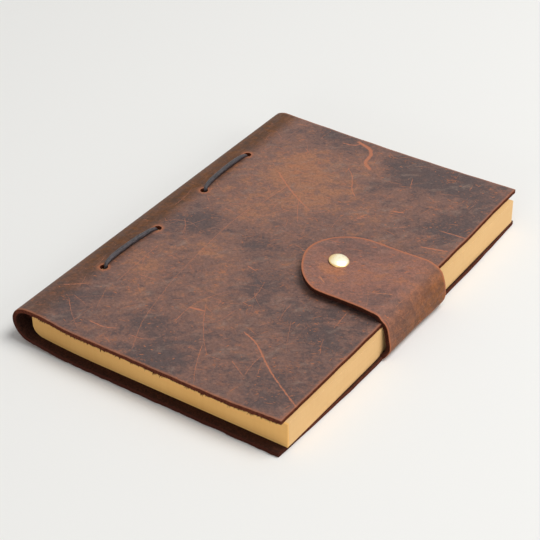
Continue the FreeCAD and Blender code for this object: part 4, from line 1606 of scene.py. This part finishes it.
# ---- stage ---------------------------------------------------------------------------------------
@dataclass(frozen=True)
class Studio:
    """Plain pale floor, soft lamps, a bright surround and the camera."""

    floor_colour: Colour = (0.87, 0.865, 0.84)
    floor_size: float = 8000.0
    fill: float = 0.335
    lens: float = 112.26
    camera_at: Point = (377.06, -565.18, 488.20)
    turn: float = 34.254
    tilt: float = 54.262
    roll: float = -0.66
    shift: float = 0.0204
    # Each lamp's name, place, size and power in watts.
    lamps: tuple[tuple[str, Point, float, float], ...] = (
        ("key_lamp", (760.0, 600.0, 1950.0), 1200.0, 33.2),
        ("fore_lamp", (1400.0, 250.0, 650.0), 800.0, 3.4),
        ("tail_lamp", (250.0, -1400.0, 300.0), 500.0, 3.5))

    def build(self) -> None:
        """Set everything up round the part."""
        self.build_floor()
        self.build_world()
        for name, place, size, power in self.lamps:
            self.build_lamp(name, place, size, power)
        camera = bpy.data.cameras.new("camera")
        camera.lens = self.lens
        camera.shift_y = self.shift
        camera.clip_start = 0.01
        holder = bpy.data.objects.new("camera", camera)
        holder.location = Vector(self.camera_at) * MM
        turned = (Matrix.Rotation(math.radians(self.turn), 4, "Z")
                  @ Matrix.Rotation(math.radians(self.tilt), 4, "X")
                  @ Matrix.Rotation(math.radians(self.roll), 4, "Z"))
        holder.rotation_euler = turned.to_euler()
        bpy.context.scene.collection.objects.link(holder)
        bpy.context.scene.camera = holder
        bpy.context.scene.view_settings.view_transform = "Standard"

    def build_floor(self) -> None:
        """Lay the floor."""
        deselect()
        bpy.ops.mesh.primitive_plane_add(size=self.floor_size * MM, location=(0.0, 0.0, 0.0))
        floor = bpy.context.object
        floor.name = "floor"
        material = bpy.data.materials.new("floor")
        material.use_nodes = True
        Wiring(material.node_tree).surface({"Base Color": self.floor_colour, "Roughness": 0.9,
                                            "Specular IOR Level": 0.1})
        floor.data.materials.append(material)

    def build_world(self) -> None:
        """Light from all round, which cameras and reflections see as white."""
        world = bpy.data.worlds.new("surround")
        world.use_nodes = True
        bpy.context.scene.world = world
        w = Wiring(world.node_tree)
        path = w.node("ShaderNodeLightPath")
        seen = w.maths("MAXIMUM", path.outputs["Is Camera Ray"], path.outputs["Is Glossy Ray"])
        strength = w.maths("ADD", self.fill, w.times(seen, 1.0 - self.fill))
        shader = w.node("ShaderNodeBackground", {"Color": (1.0, 1.0, 1.0), "Strength": strength})
        w.node("ShaderNodeOutputWorld", {"Surface": shader.outputs[0]})

    def build_lamp(self, name: str, place: Point, size: float, power: float) -> None:
        """Hang one square soft lamp that faces the part.

        Args:
            name: The lamp's name.
            place: Where it hangs, in millimetres.
            size: Its side, in millimetres.
            power: In watts.
        """
        lamp = bpy.data.lights.new(name, "AREA")
        lamp.shape = "SQUARE"
        lamp.size = size * MM
        lamp.energy = power
        holder = bpy.data.objects.new(name, lamp)
        holder.location = Vector(place) * MM
        holder.rotation_euler = Vector(place).to_track_quat("Z", "Y").to_euler()
        bpy.context.scene.collection.objects.link(holder)


# ---- everything together -------------------------------------------------------------------------
COVER_STROKES = (
    Stroke(((22.5, -64.8), (31.7, -69.0), (48.3, -82.3), (70.0, -95.7)), 1.0, 1.0, 0.55),
    Stroke(((-21.8, 107.9), (-13.9, 105.1), (-10.0, 100.0), (-8.6, 92.2), (-3.5, 88.0)), 2.6,
           0.8, 0.7),
    Stroke(((-27.9, 102.9), (-22.8, 103.9), (-20.8, 106.3)), 0.9, 0.7, 0.7),
    Stroke(((-12.5, 81.8), (-6.7, 76.0), (-0.8, 66.0), (3.3, 61.8)), 0.7, 0.5, 0.7),
    Stroke(((-40.8, 58.5), (-30.0, 50.2), (-18.3, 42.7), (-9.2, 37.7)), 1.1, 0.8, 0.5),
    Stroke(((-30.8, 49.3), (-33.3, 26.0)), 0.6, 0.6, 0.3),
    Stroke(((-35.0, 22.7), (-35.3, -0.7), (-31.7, -40.7), (-27.5, -64.0), (-22.5, -84.0),
            (-14.2, -102.3)), 0.55, 0.4, 0.35),
    Stroke(((-54.2, -30.7), (-52.5, -64.0)), 0.55, 0.5, 0.4),
    Stroke(((-42.5, -96.5), (-35.0, -96.5), (-30.0, -94.3)), 0.8, 0.8, 0.5),
    Stroke(((-20.8, -94.8), (-15.5, -94.2), (-10.0, -91.5)), 0.6, 0.5, 0.4),
    Stroke(((20.8, 91.0), (24.2, 82.7)), 0.5, 0.6, 0.4),
    Stroke(((1.7, -69.0), (6.7, -64.0), (8.3, -54.0)), 0.55, 0.4, 0.4),
    Stroke(((7.5, -47.3), (10.0, -39.0), (7.5, -27.3)), 0.55, 0.5, 0.3),
    Stroke(((17.5, 49.3), (15.0, 42.7), (20.0, 49.3)), 0.7, 0.6, 0.4),
    Stroke(((34.2, 46.0), (40.0, 51.0)), 0.6, 0.4, 0.5),
    Stroke(((-71.7, -80.7), (-63.3, -74.0)), 0.8, 0.5, 0.5),
    Stroke(((53.3, -27.3), (54.2, -39.0)), 0.7, 0.6, 0.3),
    Stroke(((30.0, -85.7), (38.3, -90.7)), 0.6, 0.6, 0.4),
    Stroke(((56.0, 40.0), (67.0, 43.0)), 1.1, 0.9, 0.7),
    Stroke(((57.0, 57.3), (69.0, 58.2)), 0.9, 0.5, 0.7),
    Stroke(((28.5, 60.0), (31.5, 61.0)), 1.4, 0.9, 0.9),
    Stroke(((-10.0, -62.5), (-4.5, -61.5)), 1.5, 0.8, 0.7),
    Stroke(((-6.0, -20.3), (-2.0, -21.3)), 0.8, 0.8, 0.6))

FLAP_STROKES = (
    Stroke(((58.0, -11.5), (66.0, -7.8)), 0.7, 0.5, 0.6),
    Stroke(((31.0, -14.5), (34.0, -16.5)), 1.1, 0.7, 0.6),
    Stroke(((50.0, -17.0), (58.0, -13.5)), 0.6, 0.4, 0.4))


def cover_tail_edge(share: float) -> Vector:
    """A point on the flesh side of the front cover's tail edge, from the spine to the fore edge."""
    x = -72.0 + 141.0 * share
    return Vector((x, -107.0 - 0.0073 * x - tail_belly(x), 15.6))


def flap_near_edge(share: float) -> Vector:
    """A point on the flesh side of the flap's near edge, from the bend to its heel."""
    return Vector((62.0 - 27.0 * share, -24.2, 20.3))


COVER_GRAIN = GrainLeather(
    "cover_leather", dark=(0.097, 0.059, 0.052), brown=(0.184, 0.097, 0.075),
    warm=(0.300, 0.138, 0.080), charcoal=(0.076, 0.054, 0.052), haze=(0.255, 0.173, 0.136),
    tan=(0.44, 0.150, 0.065), line=(0.44, 0.162, 0.088), gold=(0.078, 0.026, 0.004),
    bruising=0.7, scuffing=0.7, wear_and_highlight_rim=0.5, holes=HOLES)
STRAP_GRAIN = GrainLeather(
    "strap_leather", dark=(0.150, 0.078, 0.064), brown=(0.250, 0.115, 0.084),
    warm=(0.330, 0.138, 0.078), charcoal=(0.125, 0.078, 0.068), haze=(0.28, 0.158, 0.12),
    tan=(0.48, 0.150, 0.060), line=(0.44, 0.180, 0.095), gold=(0.175, 0.056, 0.012),
    bruising=0.55, scuffing=0.5, wear_and_highlight_rim=0.8)
FLESH_SIDE = RawLeather(
    "flesh_side", deep=(0.021, 0.008, 0.006), fibre=(0.082, 0.029, 0.017),
    wear_and_highlight=(0.10, 0.03, 0.015), fibre_size=0.6, relief=0.4, wear_and_highlight_line=0.3)
# The cut edge's low tail edges are darkened as painted shade.
CUT_EDGE = RawLeather(
    "cut_edge", deep=(0.048, 0.012, 0.007), fibre=(0.175, 0.046, 0.023),
    wear_and_highlight=(0.32, 0.105, 0.050), fibre_size=0.45, relief=0.35, wear_and_highlight_line=0.5, tail_shade_strength=0.88)
# The strap's edge colours are darker than the cover's cut edge as painted shade, the shade that its
# near edge lies in.
STRAP_EDGE = RawLeather(
    "strap_edge", deep=(0.022, 0.007, 0.004), fibre=(0.085, 0.023, 0.013),
    wear_and_highlight=(0.34, 0.115, 0.055), fibre_size=0.45, relief=0.35, wear_and_highlight_line=0.6)
LOOSE_FIBRE = RawLeather(
    "loose_fibre", deep=(0.045, 0.012, 0.007), fibre=(0.13, 0.035, 0.018),
    wear_and_highlight=(0.13, 0.035, 0.018), fibre_size=0.5, relief=0.1, wear_and_highlight_line=0.0)
CORD_WAX = WaxedCord("waxed_cord", deep=(0.010, 0.007, 0.008), light=(0.058, 0.045, 0.052))
# The cap's dull colour serves for its haze and for painted shade on its left side and rim.
CAP_BRASS = StudMetal(
    "cap_brass", bright=(0.95, 0.90, 0.68), dull_and_shade=(0.74, 0.50, 0.19), roughness=0.26)
PAPER = PagePaper(
    "page_edges", light=(0.84, 0.54, 0.245), deep=(0.78, 0.475, 0.20),
    end_light=(0.90, 0.52, 0.175), end_deep=(0.83, 0.45, 0.135))


def dress_leather(effects: SharedEffects) -> list[Piece]:
    """Make the hide and the strap's two lengths, with the handling marks on them."""
    flesh = FLESH_SIDE.build(effects)
    handling = (*random_strokes(90, (-72.0, -104.0), (66.0, 108.0), seed=11),
                *random_strokes(70, (-240.0, -104.0), (-105.0, 104.0), seed=12))
    hide = Hide(strokes=(*COVER_STROKES, *handling), materials={
        Face.GRAIN: COVER_GRAIN.build(effects), Face.FLESH: flesh,
        Face.EDGE: CUT_EDGE.build(effects)})
    marks = (*FLAP_STROKES, *random_strokes(14, (14.0, -24.0), (92.0, 24.0), seed=17))
    strap = ClosingStrap(strokes=marks, materials={
        Face.GRAIN: STRAP_GRAIN.build(effects), Face.FLESH: flesh,
        Face.EDGE: STRAP_EDGE.build(effects)})
    return [hide.build(), *strap.build()]


def dress_stud(effects: SharedEffects) -> Piece:
    """Make the press stud's cap, and give its other parts the same metal."""
    brass = CAP_BRASS.build(effects)
    for node in ("snap_socket", "snap_stud", "snap_eyelet"):
        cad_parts[node].data.materials.clear()
        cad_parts[node].data.materials.append(brass)
    return StudCap().build(brass)


def main() -> None:
    """Dress the whole journal and set the stage."""
    logging.basicConfig(level=logging.INFO, format="%(name)s: %(message)s")
    effects = SharedEffects()
    pieces = dress_leather(effects)
    cord = CORD_WAX.build(effects)
    for name, node, (first, last) in (("stitch_tail", "binding_cord_tail", HOLES[:2]),
                                      ("stitch_head", "binding_cord_head", HOLES[2:])):
        pieces.append(Stitch(name, node, first, last).build(cord))
    pieces.append(dress_stud(effects))
    pieces.append(PageBlock().build(PAPER.build(effects)))
    loose = LOOSE_FIBRE.build(effects)
    cover_fray = Fray("fray_cover", cover_tail_edge, tufts=280, seed=5, longest=2.0, thickness=0.2)
    pieces.append(cover_fray.build(loose, Body.JOURNAL))
    flap_fray = Fray("fray_flap", flap_near_edge, tufts=9, seed=6, longest=1.1)
    pieces.append(flap_fray.build(loose, Body.FLAP))
    Studio().build()
    for piece in pieces:
        LOG.info("%s has %d faces", piece.name, len(piece.data.polygons))


if __name__ == "__main__":
    main()
